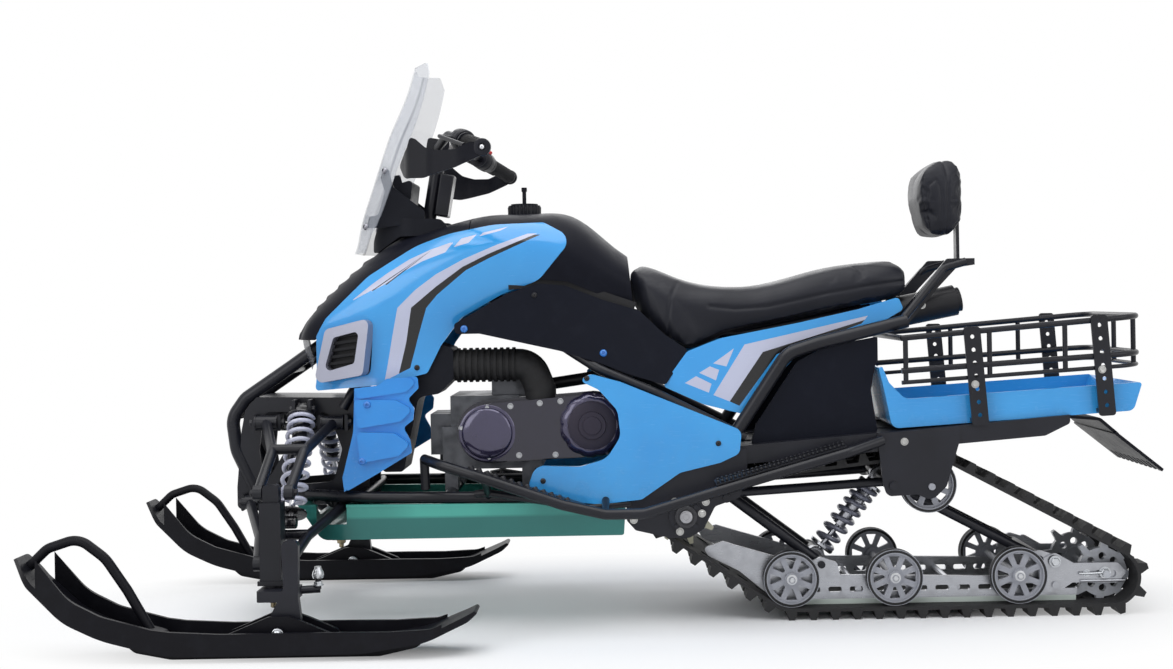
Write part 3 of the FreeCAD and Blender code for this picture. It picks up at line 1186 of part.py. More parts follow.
def make_screen():
    sections, fills = [], []
    for row in SCREEN:
        front, front_edges = screen_line(row, 0)
        back, back_edges = screen_line(row, size.screen_thickness)
        ends = [Part.LineSegment(front[-1], back[-1]).toShape(), Part.LineSegment(back[0], front[0]).toShape()]
        sections.append(Part.Wire(Part.__sortEdges__(front_edges + back_edges + ends)))
        left, right = V(cowl_rear_x, back[-1].y, row[0]), V(cowl_rear_x, back[0].y, row[0])
        closing = [Part.LineSegment(a, b).toShape() for a, b in ((back[-1], left), (left, right), (right, back[0]))]
        fills.append(Part.Wire(Part.__sortEdges__(back_edges + closing)))
    face = [V(700, -126, 880), V(700, -128, 940), V(700, -180, 1060), V(700, -180, 1290), V(700, -151, 1331),
            V(700, -126, 1362), V(700, 0, 1348), V(700, 126, 1362), V(700, 151, 1331), V(700, 180, 1290),
            V(700, 180, 1060), V(700, 128, 940), V(700, 126, 880)]
    trim = Part.Wire(rounded_edges(face, [6, 10, 40, 40, 16, 12, 60, 12, 16, 40, 40, 10, 6], True))
    clear = Part.makeLoft(sections, True, False).common(Part.Face(trim).extrude(V(-400, 0, 0)))
    return clear, Part.makeLoft(fills, True, False)


screen, screen_fill = make_screen()

# Dash: the visor round the column, the plates that carry the screen and the instrument pod
def make_dash():
    profile = [(593, 900, 8), (590, 930, 20), (566, 988, 16), (415, 981, 16), (393, 960, 10), (436, 941, 20),
               (517, 940, 20), (572, 905, 10)]
    wide = side_slab(profile, -106, 106)
    plan = [V(380, -104, 850), V(500, -104, 850), V(594, -60, 850), V(594, 60, 850), V(500, 104, 850), V(380, 104, 850)]
    inside = [V(370, -99, 850), V(498, -99, 850), V(589, -58, 850), V(589, 58, 850), V(498, 99, 850), V(370, 99, 850)]
    bends = [0, 80, 70, 70, 80, 0]
    outer = Part.Face(Part.Wire(rounded_edges(plan, bends, True))).extrude(V(0, 0, 200))
    inner = Part.Face(Part.Wire(rounded_edges(inside, bends, True))).extrude(V(0, 0, 200))
    visor = wide.common(outer).cut(inner)
    roof = side_slab([(566, 986), (560, 979), (470, 976), (468, 983)], -106, 106).common(outer)
    arms = side_slab([(454, 976, 6), (454, 1002, 10), (530, 1061, 8), (541, 1106, 6), (660, 1112), (660, 1092),
                      (562, 1088, 8), (551, 1050, 10), (569, 992, 12), (660, 984), (660, 962), (560, 962, 8)], 92, 98)
    arms = arms.common(screen_fill)
    brace = box(500, 512, -98, 98, 1012, 1024)
    pod = side_slab([(530, 1004, 10), (520, 1072, 12), (486, 1082, 8), (496, 1004, 10)], -70, 70)
    return together([visor, roof, arms, mirror(arms), brace, pod])


dash = make_dash()

# The pieces are seated on each other: what carries is left whole and what it carries is cut to it
rails = rails.cut(suspension)
frame = frame.cut(bulkhead).cut(brackets)
column_room = leaned(Part.makeCylinder(size.column_radius + 8, 500, column_foot - V(0, 0, 260), Z_AXIS))
hood_cover, dash = hood_cover.cut(column_room), dash.cut(column_room)
tunnel = tunnel.cut(frame)
fairing_stay = tube([(533, 66, 742), (533, 240, 742)], 6).common(shell_inside)
frame = together([frame, fairing_stay, mirror(fairing_stay)])
engine = engine.cut(frame)
footrest = main_piece(footrest.cut(frame).cut(brackets).cut(tunnel))
belly = belly.cut(frame).cut(pair(footrest))
footrests = pair(footrest)
lower_arms, upper_arms = pair(lower), pair(upper)
housings = pair(housing.cut(kingpin_bore).cut(lower).cut(upper))
lower_arms, upper_arms = lower_arms.cut(bulkhead), upper_arms.cut(bulkhead)
front_shocks = pair(front_shock.cut(bulkhead).cut(lower))
well_panels = pair(well_panel.cut(frame).cut(brackets).cut(footrest).cut(tunnel))
bumper = bumper.cut(bulkhead)
flap = flap.cut(tunnel)
duct = duct.cut(transmission)
backrest_frame = backrest_frame.cut(frame)
pad = pad.cut(backrest_frame)
silencer = silencer.cut(engine)
fender = main_piece(fender.cut(tunnel).cut(frame))
dash = dash.cut(hood_cover).cut(shell_inside)
seat = seat.cut(frame)
side_cover = side_cover.cut(frame)
tail_panel = tail_panel.cut(frame).cut(side_cover)
tray = tray.cut(tunnel)
rack = rack.cut(tray)

node("frame_tubes", frame)
node("front_bumper", bumper)
node("front_bulkhead", bulkhead)
node("belly_pan", belly)
node("tunnel", tunnel)
node("track_brackets", brackets)
node("track_sprockets", sprockets)
node("idler_wheels", wheels)
node("slide_rails", rails)
node("suspension_arms", suspension)
node("track_shock", track_damper)
node("track", track)
node("engine_block", engine)
node("transmission_case", transmission)
node("intake_duct", duct)
node("air_box", air_box)
node("oil_cooler", cooler)
node("hood_cover", hood_cover)
node("side_fairings", side_fairings)
node("tank_cover", tank_cover)
node("headlamps", lamp)
node("grille_frames", pair(grille_frame))
node("grille_inserts", pair(grille_insert))
node("lower_fairings", pair(lower_fairing))
node("side_covers", pair(side_cover))
node("fuel_cap", cap)
node("seat", seat)
node("tail_panels", pair(tail_panel))
node("inner_fenders", pair(fender))
node("foot_well_panels", well_panels)
node("footrests", footrests)
node("cargo_tray", tray)
node("cargo_rack", rack)
node("snow_flap", flap)
node("backrest_pad", pad)
node("backrest_frame", backrest_frame)
node("silencer", silencer)
node("windshield", screen)
node("dash_pod", dash)
node("lower_arms", lower_arms)
node("upper_arms", upper_arms)
node("front_shocks", front_shocks)
node("spindle_housings", housings)
node("handlebar", handlebar)
node("hand_guards", pair(guard))
node("knuckle_left", knuckle)
node("knuckle_right", mirror(knuckle))
node("ski_left", ski)
node("ski_right", mirror(ski))
node("ski_loop_left", ski_loop)
node("ski_loop_right", mirror(ski_loop))


# Checks on every object, then one STEP file for each node
def check_document():
    doc.recompute()
    for item in doc.Objects:
        bad = [state for state in item.State if state in ("Invalid", "Error")]
        if bad:
            raise RuntimeError(f"{item.Label} is {bad}")
    for item in made:
        if item.Shape.isNull() or not item.Shape.isValid() or not item.Shape.Solids:
            raise RuntimeError(f"{item.Label} has no valid solid")


def write_steps():
    os.makedirs("parts", exist_ok=True)
    for item in made:
        item.Shape.exportStep(f"parts/{item.Label}.step")


check_document()
write_steps()
doc.saveAs("part.FCStd")
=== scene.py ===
"""Looks of a utility snowmobile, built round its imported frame: paint, plastics, rubber, springs, seat and stage.

Every piece is in metres in the frame of the part: +X forward, +Y to the rider's left, +Z up, ground at zero.
"""
import math

import bmesh
import bpy
import numpy as np
from mathutils import Matrix, Vector


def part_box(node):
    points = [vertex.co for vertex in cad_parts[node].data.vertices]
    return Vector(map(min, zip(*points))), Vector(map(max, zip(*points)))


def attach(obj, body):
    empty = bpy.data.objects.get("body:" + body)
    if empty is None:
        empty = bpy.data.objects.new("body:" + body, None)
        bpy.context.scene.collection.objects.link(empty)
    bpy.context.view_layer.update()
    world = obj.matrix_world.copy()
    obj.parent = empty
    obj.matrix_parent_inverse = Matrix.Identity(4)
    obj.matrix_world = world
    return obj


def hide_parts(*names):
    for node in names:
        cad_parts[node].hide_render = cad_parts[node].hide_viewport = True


bl_info = {
    "name": "Utility snowmobile looks",
    "version": (1, 0, 0),
    "blender": (4, 5, 0),
    "location": "3D View > Sidebar > Snowmobile",
    "description": "Dresses a utility snowmobile: paint, plastics, rubber, springs, seat and a plain studio stage",
    "category": "Object",
}

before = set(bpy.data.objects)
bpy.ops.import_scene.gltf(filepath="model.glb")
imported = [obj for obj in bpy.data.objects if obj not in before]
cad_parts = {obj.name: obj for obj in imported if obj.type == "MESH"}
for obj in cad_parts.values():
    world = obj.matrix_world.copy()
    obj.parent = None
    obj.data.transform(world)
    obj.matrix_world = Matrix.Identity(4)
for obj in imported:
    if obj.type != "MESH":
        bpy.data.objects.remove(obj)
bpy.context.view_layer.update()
CHASSIS, STEERING = "chassis", "steering"

SMOOTH_BELOW = math.radians(35.0)  # edges bent more than this are shaded sharp
BOLT_SINK = 0.0003  # how deep a bolt head stands in its panel, in metres
COIL_STEPS = 22  # sections in each turn of a spring
COIL_TIGHT = 0.45  # how much slower a spring rises at its start
CLOTH_FRAMES, CLOTH_PRESSURE = 20, 4.0  # how long and how hard a pad is blown up


# Numbers and colours

def mm(*numbers):
    """Millimetres as an array of metres."""
    return np.array(numbers, float) / 1000.0


def seen(red, green, blue):
    """The linear colour of a display colour given as 0 to 255."""
    part = np.array([red, green, blue]) / 255.0
    linear = np.where(part <= 0.04045, part / 12.92, ((part + 0.055) / 1.055) ** 2.4)
    return (*linear.tolist(), 1.0)


def unit(vectors):
    """Each vector divided by its own length."""
    vectors = np.asarray(vectors, float)
    return vectors / np.maximum(np.linalg.norm(vectors, axis=-1, keepdims=True), 1e-12)


# Shader maths

class Value:
    """A number on a shader socket, on which maths is written as an expression."""

    def __init__(self, finish, socket):
        self.finish, self.socket = finish, socket

    def maths(self, operation, first, second):
        return self.finish.node("ShaderNodeMath", {"operation": operation}, {0: first, 1: second})

    def __add__(self, other):
        return self.maths("ADD", self, other)

    def __radd__(self, other):
        return self.maths("ADD", other, self)

    def __sub__(self, other):
        return self.maths("SUBTRACT", self, other)

    def __rsub__(self, other):
        return self.maths("SUBTRACT", other, self)

    def __mul__(self, other):
        return self.maths("MULTIPLY", self, other)

    def __rmul__(self, other):
        return self.maths("MULTIPLY", other, self)

    def __gt__(self, other):
        return self.maths("GREATER_THAN", self, other)

    def __lt__(self, other):
        return self.maths("LESS_THAN", self, other)


class Finish:
    """One material, or the world, and its node tree, with one method that adds any node."""

    def __init__(self, name, holder=None):
        self.holder = holder or bpy.data.materials.new(name)
        self.holder.use_nodes = True
        self.tree = self.holder.node_tree
        self.tree.nodes.clear()
        self.kept = {}

    def node(self, kind, settings=None, inputs=None, output=0):
        """Adds a node of a type, gives it its settings first, then the values or links of its sockets."""
        added = self.tree.nodes.new(kind)
        for key, setting in (settings or {}).items():
            if key == "stops":
                ramp = added.color_ramp
                while len(ramp.elements) < len(setting):
                    ramp.elements.new(1.0)
                for element, (place, level) in zip(ramp.elements, setting):
                    element.position = place
                    element.color = (level, level, level, 1.0)
            elif key == "curve":
                line = added.mapping.curves[0]
                while len(line.points) < len(setting):
                    line.points.new(0.5, 0.5)
                for point, place in zip(line.points, setting):
                    point.location = place
                    point.handle_type = "VECTOR"
                added.mapping.update()
            else:
                setattr(added, key, setting)
        for key, given in (inputs or {}).items():
            if isinstance(given, Value):
                self.tree.links.new(given.socket, added.inputs[key])
            else:
                added.inputs[key].default_value = given
        return None if output is None else Value(self, added.outputs[output])

    def place(self):
        """The point of the object, in metres."""
        if "place" not in self.kept:
            self.kept["place"] = self.node("ShaderNodeTexCoord", output="Object")
        return self.kept["place"]

    def along(self, axis):
        """One coordinate of the point, in metres."""
        if axis not in self.kept:
            self.kept[axis] = self.node("ShaderNodeSeparateXYZ", None, {0: self.place()}, axis)
        return self.kept[axis]

    def stretched(self, x, y, z, turn=(0.0, 0.0, 0.0)):
        """The point with each axis scaled, for grain that runs one way."""
        return self.node("ShaderNodeMapping", None, {"Vector": self.place(), "Rotation": turn, "Scale": (x, y, z)})

    def noise(self, scale, detail=4.0, roughness=0.5, vector=None):
        """Cloudy noise, with its scale in waves per metre."""
        return self.node("ShaderNodeTexNoise", None, {"Vector": vector or self.place(), "Scale": scale,
                                                      "Detail": detail, "Roughness": roughness}, "Fac")

    def cells(self, scale, feature="F1"):
        """Distance within cells, with the scale in cells per metre."""
        return self.node("ShaderNodeTexVoronoi", {"feature": feature},
                         {"Vector": self.place(), "Scale": scale}, "Distance")

    def ramp(self, value, *stops):
        """A number read from a ramp of (place, level) stops."""
        return self.node("ShaderNodeValToRGB", {"stops": stops}, {0: value})

    def patches(self, low, high, *cloud):
        """Cloudy noise of a scale, detail and roughness, spread from 0 at a low level to 1 at a high level."""
        return self.ramp(self.noise(*cloud), (low, 0.0), (high, 1.0))

    def blend(self, factor, first, second):
        """A colour between two colours."""
        return self.node("ShaderNodeMix", {"data_type": "RGBA"}, {0: factor, 6: first, 7: second}, 2)

    def raised(self, height, distance, strength):
        """The normal of a surface raised by a height pattern, the distance in metres."""
        return self.node("ShaderNodeBump", None, {"Height": height, "Distance": distance, "Strength": strength},
                         "Normal")

    def inside(self, points):
        """1 inside a convex outline in the side view, from corners (x, z) in millimetres."""
        corners = mm(*points)
        area = np.sum(corners[:, 0] * np.roll(corners[:, 1], -1) - np.roll(corners[:, 0], -1) * corners[:, 1])
        if area < 0:
            corners = corners[::-1]
        mask = None
        for (x1, z1), (x2, z2) in zip(corners, np.roll(corners, -1, axis=0)):
            across = (float(z1 - z2), 0.0, float(x2 - x1))
            edge = self.node("ShaderNodeVectorMath", {"operation": "DOT_PRODUCT"},
                             {0: self.place(), 1: across}, "Value") > float(x1 * (z1 - z2) + z1 * (x2 - x1))
            mask = edge if mask is None else mask * edge
        return mask

    def line(self, value, points):
        """The height of a line of straight runs at a value, from points (value, height) in millimetres."""
        points = sorted(points)
        firsts, seconds = [p[0] for p in points], [p[1] for p in points]
        low, span = firsts[0], firsts[-1] - firsts[0]
        base, rise = min(seconds), max(max(seconds) - min(seconds), 1)
        curve = [((p[0] - low) / span, (p[1] - base) / rise) for p in points]
        part = (value - low / 1000) * (1000 / span)
        read = self.node("ShaderNodeFloatCurve", {"curve": curve}, {"Value": part})
        return read * (rise / 1000) + base / 1000

    def between(self, value, cross, lower, upper):
        """1 where cross lies between two lines drawn over value, in their common range."""
        ends = [min(p[0] for p in lower), max(p[0] for p in lower)]
        mask = (cross > self.line(value, lower)) * (cross < self.line(value, upper))
        return mask * (value > ends[0] / 1000) * (value < ends[1] / 1000)

    def surface(self, **sockets):
        """The material with a Principled shader, its sockets named in words."""
        names = {"colour": "Base Color", "metal": "Metallic", "rough": "Roughness", "normal": "Normal", "ior": "IOR",
                 "alpha": "Alpha", "coat": "Coat Weight", "coat_rough": "Coat Roughness", "sheen": "Sheen Weight",
                 "specular": "Specular IOR Level"}
        shader = self.node("ShaderNodeBsdfPrincipled", None, {names[key]: given for key, given in sockets.items()})
        return self.shown(shader)

    def rays(self, *kinds):
        """1 for rays of any of these kinds, as the light path names them."""
        mask = 0.0
        for kind in kinds:
            ray = self.node("ShaderNodeLightPath", output=kind)
            mask = self.node("ShaderNodeMath", {"operation": "MAXIMUM"}, {0: mask, 1: ray})
        return mask

    def shown(self, shader):
        """The material, or the world, with this shader on its output."""
        world = isinstance(self.holder, bpy.types.World)
        self.node("ShaderNodeOutputWorld" if world else "ShaderNodeOutputMaterial", None, {"Surface": shader}, None)
        return self.holder


# Finishes

SKY, DEEP = seen(60, 157, 224), seen(40, 126, 200)
SILVER, INK = seen(186, 190, 212), seen(9, 10, 14)


def deeper(colour, share):
    """A colour with each of its parts multiplied by a share."""
    return (*(part * share for part in colour[:3]), 1.0)


def weather(finish, base, darker, amount=0.35):
    """A base colour clouded slowly by a darker one, as moulded and painted panels are."""
    cloud = finish.patches(0.35, 0.7, 5.0, 3.0)
    return finish.blend(cloud * amount, base, darker)


def paint(name, base, darker, decals=None, gloss=0.16):
    """Glossy plastic under clear lacquer: slow colour clouds, orange peel, hairline scratches and dust low down."""
    finish = Finish(name)
    colour = weather(finish, base, darker)
    if decals:
        for tint, mask in decals(finish):
            colour = finish.blend(mask, colour, tint)
    speckle = finish.patches(0.45, 0.75, 38.0, 6.0)
    low = finish.ramp(finish.along("Z"), (0.2, 1.0), (0.62, 0.0)) * speckle
    colour = finish.blend(low * 0.12, colour, seen(120, 132, 146))
    hairlines = finish.noise(260.0, 2.0, 0.5, finish.stretched(0.12, 1.0, 1.6, (0.0, 0.3, 0.0)))
    scratch = finish.ramp(hairlines, (0.60, 0.0), (0.72, 1.0))
    return finish.surface(colour=colour, rough=gloss + scratch * 0.14 + low * 0.3, coat=0.4, coat_rough=0.06, ior=1.5,
                          specular=0.35, normal=finish.raised(finish.noise(420.0, 2.0), 0.00012, 0.5))


def fairing_decals(finish):
    """The long silver and black bands that sweep down each fairing, and the small flashes above them."""
    x, z = finish.along("X"), finish.along("Z")
    front = [(943, 182), (912, 270), (879, 349), (844, 416), (808, 466), (765, 511), (693, 527), (590, 548)]
    middle = [(938, 174), (890, 291), (860, 353), (815, 416), (777, 463), (765, 478), (684, 493), (590, 518)]
    back = [(935, 166), (880, 289), (852, 345), (795, 415), (764, 442), (696, 464), (620, 486), (590, 494)]
    cut = z > (0.590 + (0.548 - x) * 0.48)  # the bands end on a slanted line
    yield SILVER, finish.between(z, x, middle, front) * cut
    yield INK, finish.between(z, x, back, middle) * cut
    yield SILVER, finish.between(x, z, [(381, 918), (432, 895), (482, 866), (522, 838), (570, 810), (620, 785)],
                                 [(381, 920), (432, 903), (482, 881), (532, 851), (574, 822), (620, 787)])
    yield SILVER, finish.between(x, z, [(377, 918), (394, 896), (449, 876), (499, 850), (541, 822), (574, 805)],
                                 [(377, 920), (430, 896), (499, 860), (540, 836), (574, 807), (574.1, 806)])
    for thin in ([(424, 905), (573, 808), (571, 806)], [(424, 905), (540, 822), (537, 820)]):
        yield INK, finish.inside(thin)
    for shape in ([(356, 929), (319, 938), (338, 918), (374, 908)], [(304, 942), (244, 956), (263, 946), (313, 933)]):
        yield SILVER, finish.inside(shape)


def tail_decals(finish):
    """The silver chevron with its black edge and the small silver bars on each tail panel."""
    for shape in ([(-321, 662), (-624, 726), (-616, 716), (-365, 643)],
                  [(-365, 643), (-282, 526), (-243, 542), (-321, 662)],
                  [(-175, 572), (-202, 588), (-239, 569), (-232, 548)],
                  [(-210, 596), (-236, 611), (-258, 602), (-250, 577)],
                  [(-244, 618), (-295, 653), (-276, 610)]):
        yield SILVER, finish.inside(shape)
    for shape in ([(-365, 643), (-616, 716), (-608, 707), (-399, 637)],
                  [(-365, 643), (-399, 637), (-305, 515), (-282, 526)]):
        yield INK, finish.inside(shape)


def moulded(name, base, rough, grain, depth=0.00025, specular=0.2):
    """Grained black plastic: fine pebbles, slow changes of sheen, and paler dust in patches."""
    finish = Finish(name)
    dust = finish.patches(0.5, 0.8, 26.0, 6.0, 0.6)
    colour = finish.blend(dust * 0.07, weather(finish, base, deeper(base, 0.6)), seen(62, 66, 76))
    sheen = finish.noise(9.0, 3.0)
    pebbles = finish.cells(grain) + finish.noise(grain * 1.7, 2.0) * 0.5
    return finish.surface(colour=colour, rough=rough + (sheen - 0.5) * 0.16 + dust * 0.12, specular=specular,
                          normal=finish.raised(pebbles, depth, 0.6), ior=1.49)


def powder(name, base=(0.0075, 0.008, 0.0115, 1.0), rough=0.3):
    """Black powder coat on tube and plate: a fine sprayed texture, soft shine, and small bright chips."""
    finish = Finish(name)
    chips = finish.patches(0.74, 0.755, 150.0, 8.0, 0.65)
    colour = finish.blend(chips * 0.5, weather(finish, base, deeper(base, 1.9), 0.6), seen(92, 94, 102))
    spray = finish.noise(1300.0, 2.0) + finish.noise(300.0, 2.0) * 0.6
    cloud = finish.noise(14.0, 4.0)
    return finish.surface(colour=colour, rough=rough + (cloud - 0.5) * 0.2 + chips * 0.2, metal=chips * 0.6,
                          specular=0.26, normal=finish.raised(spray, 0.00016, 0.55), coat=0.05, coat_rough=0.2)


def rubber(name, base, grain):
    """Black rubber: dull, pitted, and greyed where it is worn."""
    finish = Finish(name)
    worn = finish.patches(0.46, 0.76, 34.0, 7.0, 0.62)
    colour = finish.blend(worn * 0.35, base, (0.045, 0.045, 0.048, 1.0))
    pits = finish.noise(grain, 5.0, 0.7)
    return finish.surface(colour=colour, rough=0.62 + worn * 0.2, normal=finish.raised(pits, 0.0005, 0.6), ior=1.52,
                          specular=0.28)


def metallic(name, base, rough, coat=0.5, ledge=None):
    """Metallic paint: bright flakes under lacquer, a little darker in clouds, and a painted highlight, paler, from a
    ledge's height up.
    """
    finish = Finish(name)
    flakes = finish.ramp(finish.cells(3800.0), (0.0, 1.0), (0.55, 0.0))
    colour = weather(finish, base, deeper(base, 0.7), 0.4)
    if ledge:
        # painted highlight: the pan's upper ledge is given a paler colour, as if lit, varying slowly along its length
        ledge_highlight = finish.ramp((finish.along("Z") - (ledge - 0.004)) * 100.0, (0.0, 0.0), (0.8, 1.0))
        sweep = finish.patches(0.4, 0.62, 4.0, 1.0, 0.4, finish.stretched(1.0, 0.2, 0.2))
        colour = finish.blend(ledge_highlight * (sweep * 0.6 + 0.25), colour, seen(78, 176, 162))
    pale = (*(min(1.0, part * 1.3 + 0.02) for part in base[:3]), 1.0)
    colour = finish.blend(flakes * 0.25, colour, pale)
    marks = finish.patches(0.55, 0.8, 70.0, 6.0)
    return finish.surface(colour=colour, metal=0.6, rough=rough + marks * 0.18, coat=coat, coat_rough=0.08,
                          normal=finish.raised(finish.noise(500.0, 2.0), 0.0001, 0.4))


def brushed(name, base, turn=(0.0, 0.0, 0.0), rough=0.3, strip=0.0):
    """Bare metal brushed one way: streaks of shine, darker oxide, and a pale slider below the height of a strip."""
    finish = Finish(name)
    streak = finish.noise(900.0, 3.0, 0.6, finish.stretched(0.02, 1.0, 1.0, turn))
    oxide = finish.patches(0.5, 0.8, 30.0, 6.0)
    colour = finish.blend(oxide * 0.4, base, deeper(base, 0.55))
    metal = 0.9
    if strip:
        slider = finish.along("Z") < strip
        colour = finish.blend(slider, colour, seen(190, 200, 194))
        metal = (1.0 - slider) * 0.9
    return finish.surface(colour=colour, metal=metal, rough=rough + (streak - 0.5) * 0.3 + oxide * 0.2,
                          normal=finish.raised(streak, 0.00008, 0.5))


def cast(name):
    """Sand-cast metal: a coarse skin with pits, and darker stains."""
    finish, base = Finish(name), (0.13, 0.135, 0.15, 1.0)
    skin = finish.noise(620.0, 5.0, 0.7) + finish.cells(420.0) * 0.5
    stain = finish.patches(0.42, 0.72, 22.0, 6.0)
    colour = finish.blend(stain * 0.55, base, deeper(base, 0.35))
    return finish.surface(colour=colour, metal=0.75, rough=0.5 + stain * 0.2, normal=finish.raised(skin, 0.0004, 0.6))


def drive_gloss(name):
    """Purple-black lacquer on the drive cover: a painted highlight, paler where it stands farther out, with swirl
    marks and stains.
    """
    finish = Finish(name)
    swirl = finish.patches(0.5, 0.8, 180.0, 4.0, 0.6, finish.stretched(1.0, 1.0, 0.2))
    # painted highlight: faces that stand farther out are given a paler colour, as if they caught more light
    proud_highlight = finish.ramp((finish.along("Y") - 0.150) * 40.0, (0.0, 0.0), (0.8, 1.0))
    stain = finish.patches(0.5, 0.75, 60.0, 4.0)
    colour = finish.blend(proud_highlight, seen(24, 23, 38), seen(36, 34, 54))
    colour = finish.blend(stain * 0.3, colour, seen(20, 19, 30))
    return finish.surface(colour=colour, metal=0.45, rough=swirl * 0.16 + 0.15, coat=0.7, coat_rough=0.05,
                          normal=finish.raised(finish.noise(240.0, 2.0), 0.00012, 0.5))


def lacquer(name, base, rough, metal=0.2, coat=0.4):
    """Smooth lacquered metal: a little darker in clouds, with rubbed marks."""
    finish = Finish(name)
    rubbed = finish.patches(0.5, 0.8, 90.0, 5.0)
    colour = finish.blend(rubbed * 0.3, weather(finish, base, deeper(base, 0.7), 0.4), deeper(base, 0.5))
    return finish.surface(colour=colour, metal=metal, rough=rough + rubbed * 0.2, coat=coat, coat_rough=0.08,
                          normal=finish.raised(finish.noise(260.0, 2.0), 0.00012, 0.5))


def vinyl(name):
    """Black seat vinyl: leather grain of small raised cells, finer pores, and a soft shine where it is rubbed."""
    finish, base = Finish(name), (0.0058, 0.0065, 0.0115, 1.0)
    warp = finish.noise(60.0, 2.0)
    grain = finish.cells(560.0, "SMOOTH_F1") * 0.7 + finish.noise(1400.0, 3.0) * 0.3 + warp * 0.15
    rub = finish.patches(0.35, 0.75, 11.0, 4.0)
    colour = finish.blend(rub * 0.4, base, (0.012, 0.013, 0.020, 1.0))
    return finish.surface(colour=colour, rough=0.42 + (0.5 - rub) * 0.14, normal=finish.raised(grain, 0.00045, 0.7),
                          sheen=0.02, coat=0.04, coat_rough=0.3, specular=0.22)


def clear_screen(name):
    """Clear bent sheet: pale grey, denser where it is seen edge on, with painted shade in dark soft lines along its
    two bends.
    """
    finish = Finish(name)
    z, y = finish.along("Z"), finish.along("Y")
    facing = finish.node("ShaderNodeLayerWeight", None, {"Blend": 0.35}, "Facing")
    half = finish.line(z, [(900, 58), (958, 69), (1040, 75), (1110, 77.5), (1200, 78), (1290, 77), (1370, 73.5)])
    off = finish.node("ShaderNodeMath", {"operation": "ABSOLUTE"}, {0: y})
    # painted shade: dark soft lines, also more opaque, along the two bends of the clear sheet
    bend_shade = finish.between(z, off - half, [(900, -2.2), (1370, -2.2)], [(900, 2.2), (1370, 2.2)])
    smear = finish.patches(0.5, 0.8, 16.0, 5.0)
    colour = finish.blend(bend_shade * 0.9, seen(172, 178, 190), seen(24, 26, 38))
    return finish.surface(colour=colour, rough=0.06 + smear * 0.1, coat=0.5, coat_rough=0.03,
                          alpha=0.15 + facing * 0.34 + bend_shade * 0.45 + smear * 0.04,
                          normal=finish.raised(finish.noise(30.0, 2.0), 0.0002, 0.3))


def lamp_glass(name):
    """Clear lamp lens with level flutes moulded inside it: a sine of the height."""
    finish = Finish(name)
    facing = finish.node("ShaderNodeLayerWeight", None, {"Blend": 0.4}, "Facing")
    flutes = finish.node("ShaderNodeMath", {"operation": "SINE"}, {0: finish.along("Z") * 900.0})
    colour = finish.blend(facing, seen(60, 64, 78), seen(30, 33, 42))
    return finish.surface(colour=colour, rough=0.05 + finish.noise(40.0) * 0.05, alpha=0.5 + facing * 0.4, coat=0.8,
                          coat_rough=0.03, normal=finish.raised(flutes, 0.0004, 0.35))


def plastic(name, base, rough, waxy=0.0):
    """Moulded engineering plastic: waxy, a little scuffed, with flow marks."""
    finish = Finish(name)
    scuff = finish.patches(0.5, 0.8, 120.0, 7.0, 0.7)
    colour = finish.blend(scuff * 0.3, base, deeper(base, 0.62))
    return finish.surface(colour=colour, rough=rough + scuff * 0.2, coat=waxy, coat_rough=0.25,
                          normal=finish.raised(finish.noise(700.0, 3.0), 0.0002, 0.5))


def sprocket_nylon(name):
    """Sprocket plastic: cream at the front drive wheels, and milky grey-white towards the tail wheels."""
    finish = Finish(name)
    back = finish.ramp(finish.along("X") * -1.0, (0.4, 0.0), (0.9, 1.0))
    scuff = finish.patches(0.48, 0.8, 90.0, 7.0, 0.7)
    colour = finish.blend(back, seen(206, 203, 178), seen(186, 189, 196))
    colour = finish.blend(scuff * 0.35, colour, seen(132, 132, 128))
    return finish.surface(colour=colour, rough=0.36 + scuff * 0.2, coat=0.2, coat_rough=0.25,
                          normal=finish.raised(finish.noise(500.0, 3.0), 0.0002, 0.5))


# Surfaces on grids

def lattice(points):
    """Faces of a grid of points: each joins four neighbours, and every row closes on its first point."""
    index = np.arange(points.shape[0] * points.shape[1]).reshape(points.shape[:2])
    index = np.hstack([index, index[:, :1]])
    corners = (index[:-1, :-1], index[1:, :-1], index[1:, 1:], index[:-1, 1:])
    return points.reshape(-1, 3), np.stack(corners, -1).reshape(-1, 4)


def square_to(way):
    """Two unit directions square to a way and to each other."""
    way = unit(way)
    helper = np.where(np.abs(way[..., 2:3]) < 0.9, np.array([0.0, 0.0, 1.0]), np.array([1.0, 0.0, 0.0]))
    side = unit(np.cross(helper, way))
    return side, np.cross(way, side)


def turned(profile, count, start=(0, 0, 0), way=(0, 0, 1), lobes=None):
    """A turned form: each profile point (along, radius) goes round the way, its radius times the lobes there."""
    profile = np.asarray(profile, float)
    angle = 2 * math.pi * np.arange(count) / count
    side, up = square_to(np.asarray(way, float))
    ring = np.cos(angle)[:, None] * side + np.sin(angle)[:, None] * up
    if lobes is not None:
        ring = ring * lobes(angle)[:, None]
    points = np.asarray(start, float) + profile[:, 0, None, None] * unit(way) + profile[:, 1, None, None] * ring[None]
    return lattice(points)


def copies(part, places, ways):
    """One small form stood at many places: its local Z is turned to each way, or at all of them to one way."""
    verts, faces = part
    places, ways = np.atleast_2d(places).astype(float), unit(np.atleast_2d(ways))
    side, up = square_to(ways)
    turn = np.stack([side, up, ways], axis=1)
    moved = np.einsum("va,nab->nvb", verts, turn) + places[:, None]
    steps = np.arange(len(places))[:, None, None] * len(verts)
    return moved.reshape(-1, 3), (faces[None] + steps).reshape(-1, faces.shape[1])


def carried(line, side, top, profile):
    """A profile stood at each point of a line by two directions, with both ends closed to the line."""
    spread = profile[None, :, 0, None] * side[:, None] + profile[None, :, 1, None] * top[:, None]
    first, last = (line[at] + np.zeros_like(spread[:1]) for at in (0, -1))
    return lattice(np.concatenate([first, line[:, None] + spread, last]))


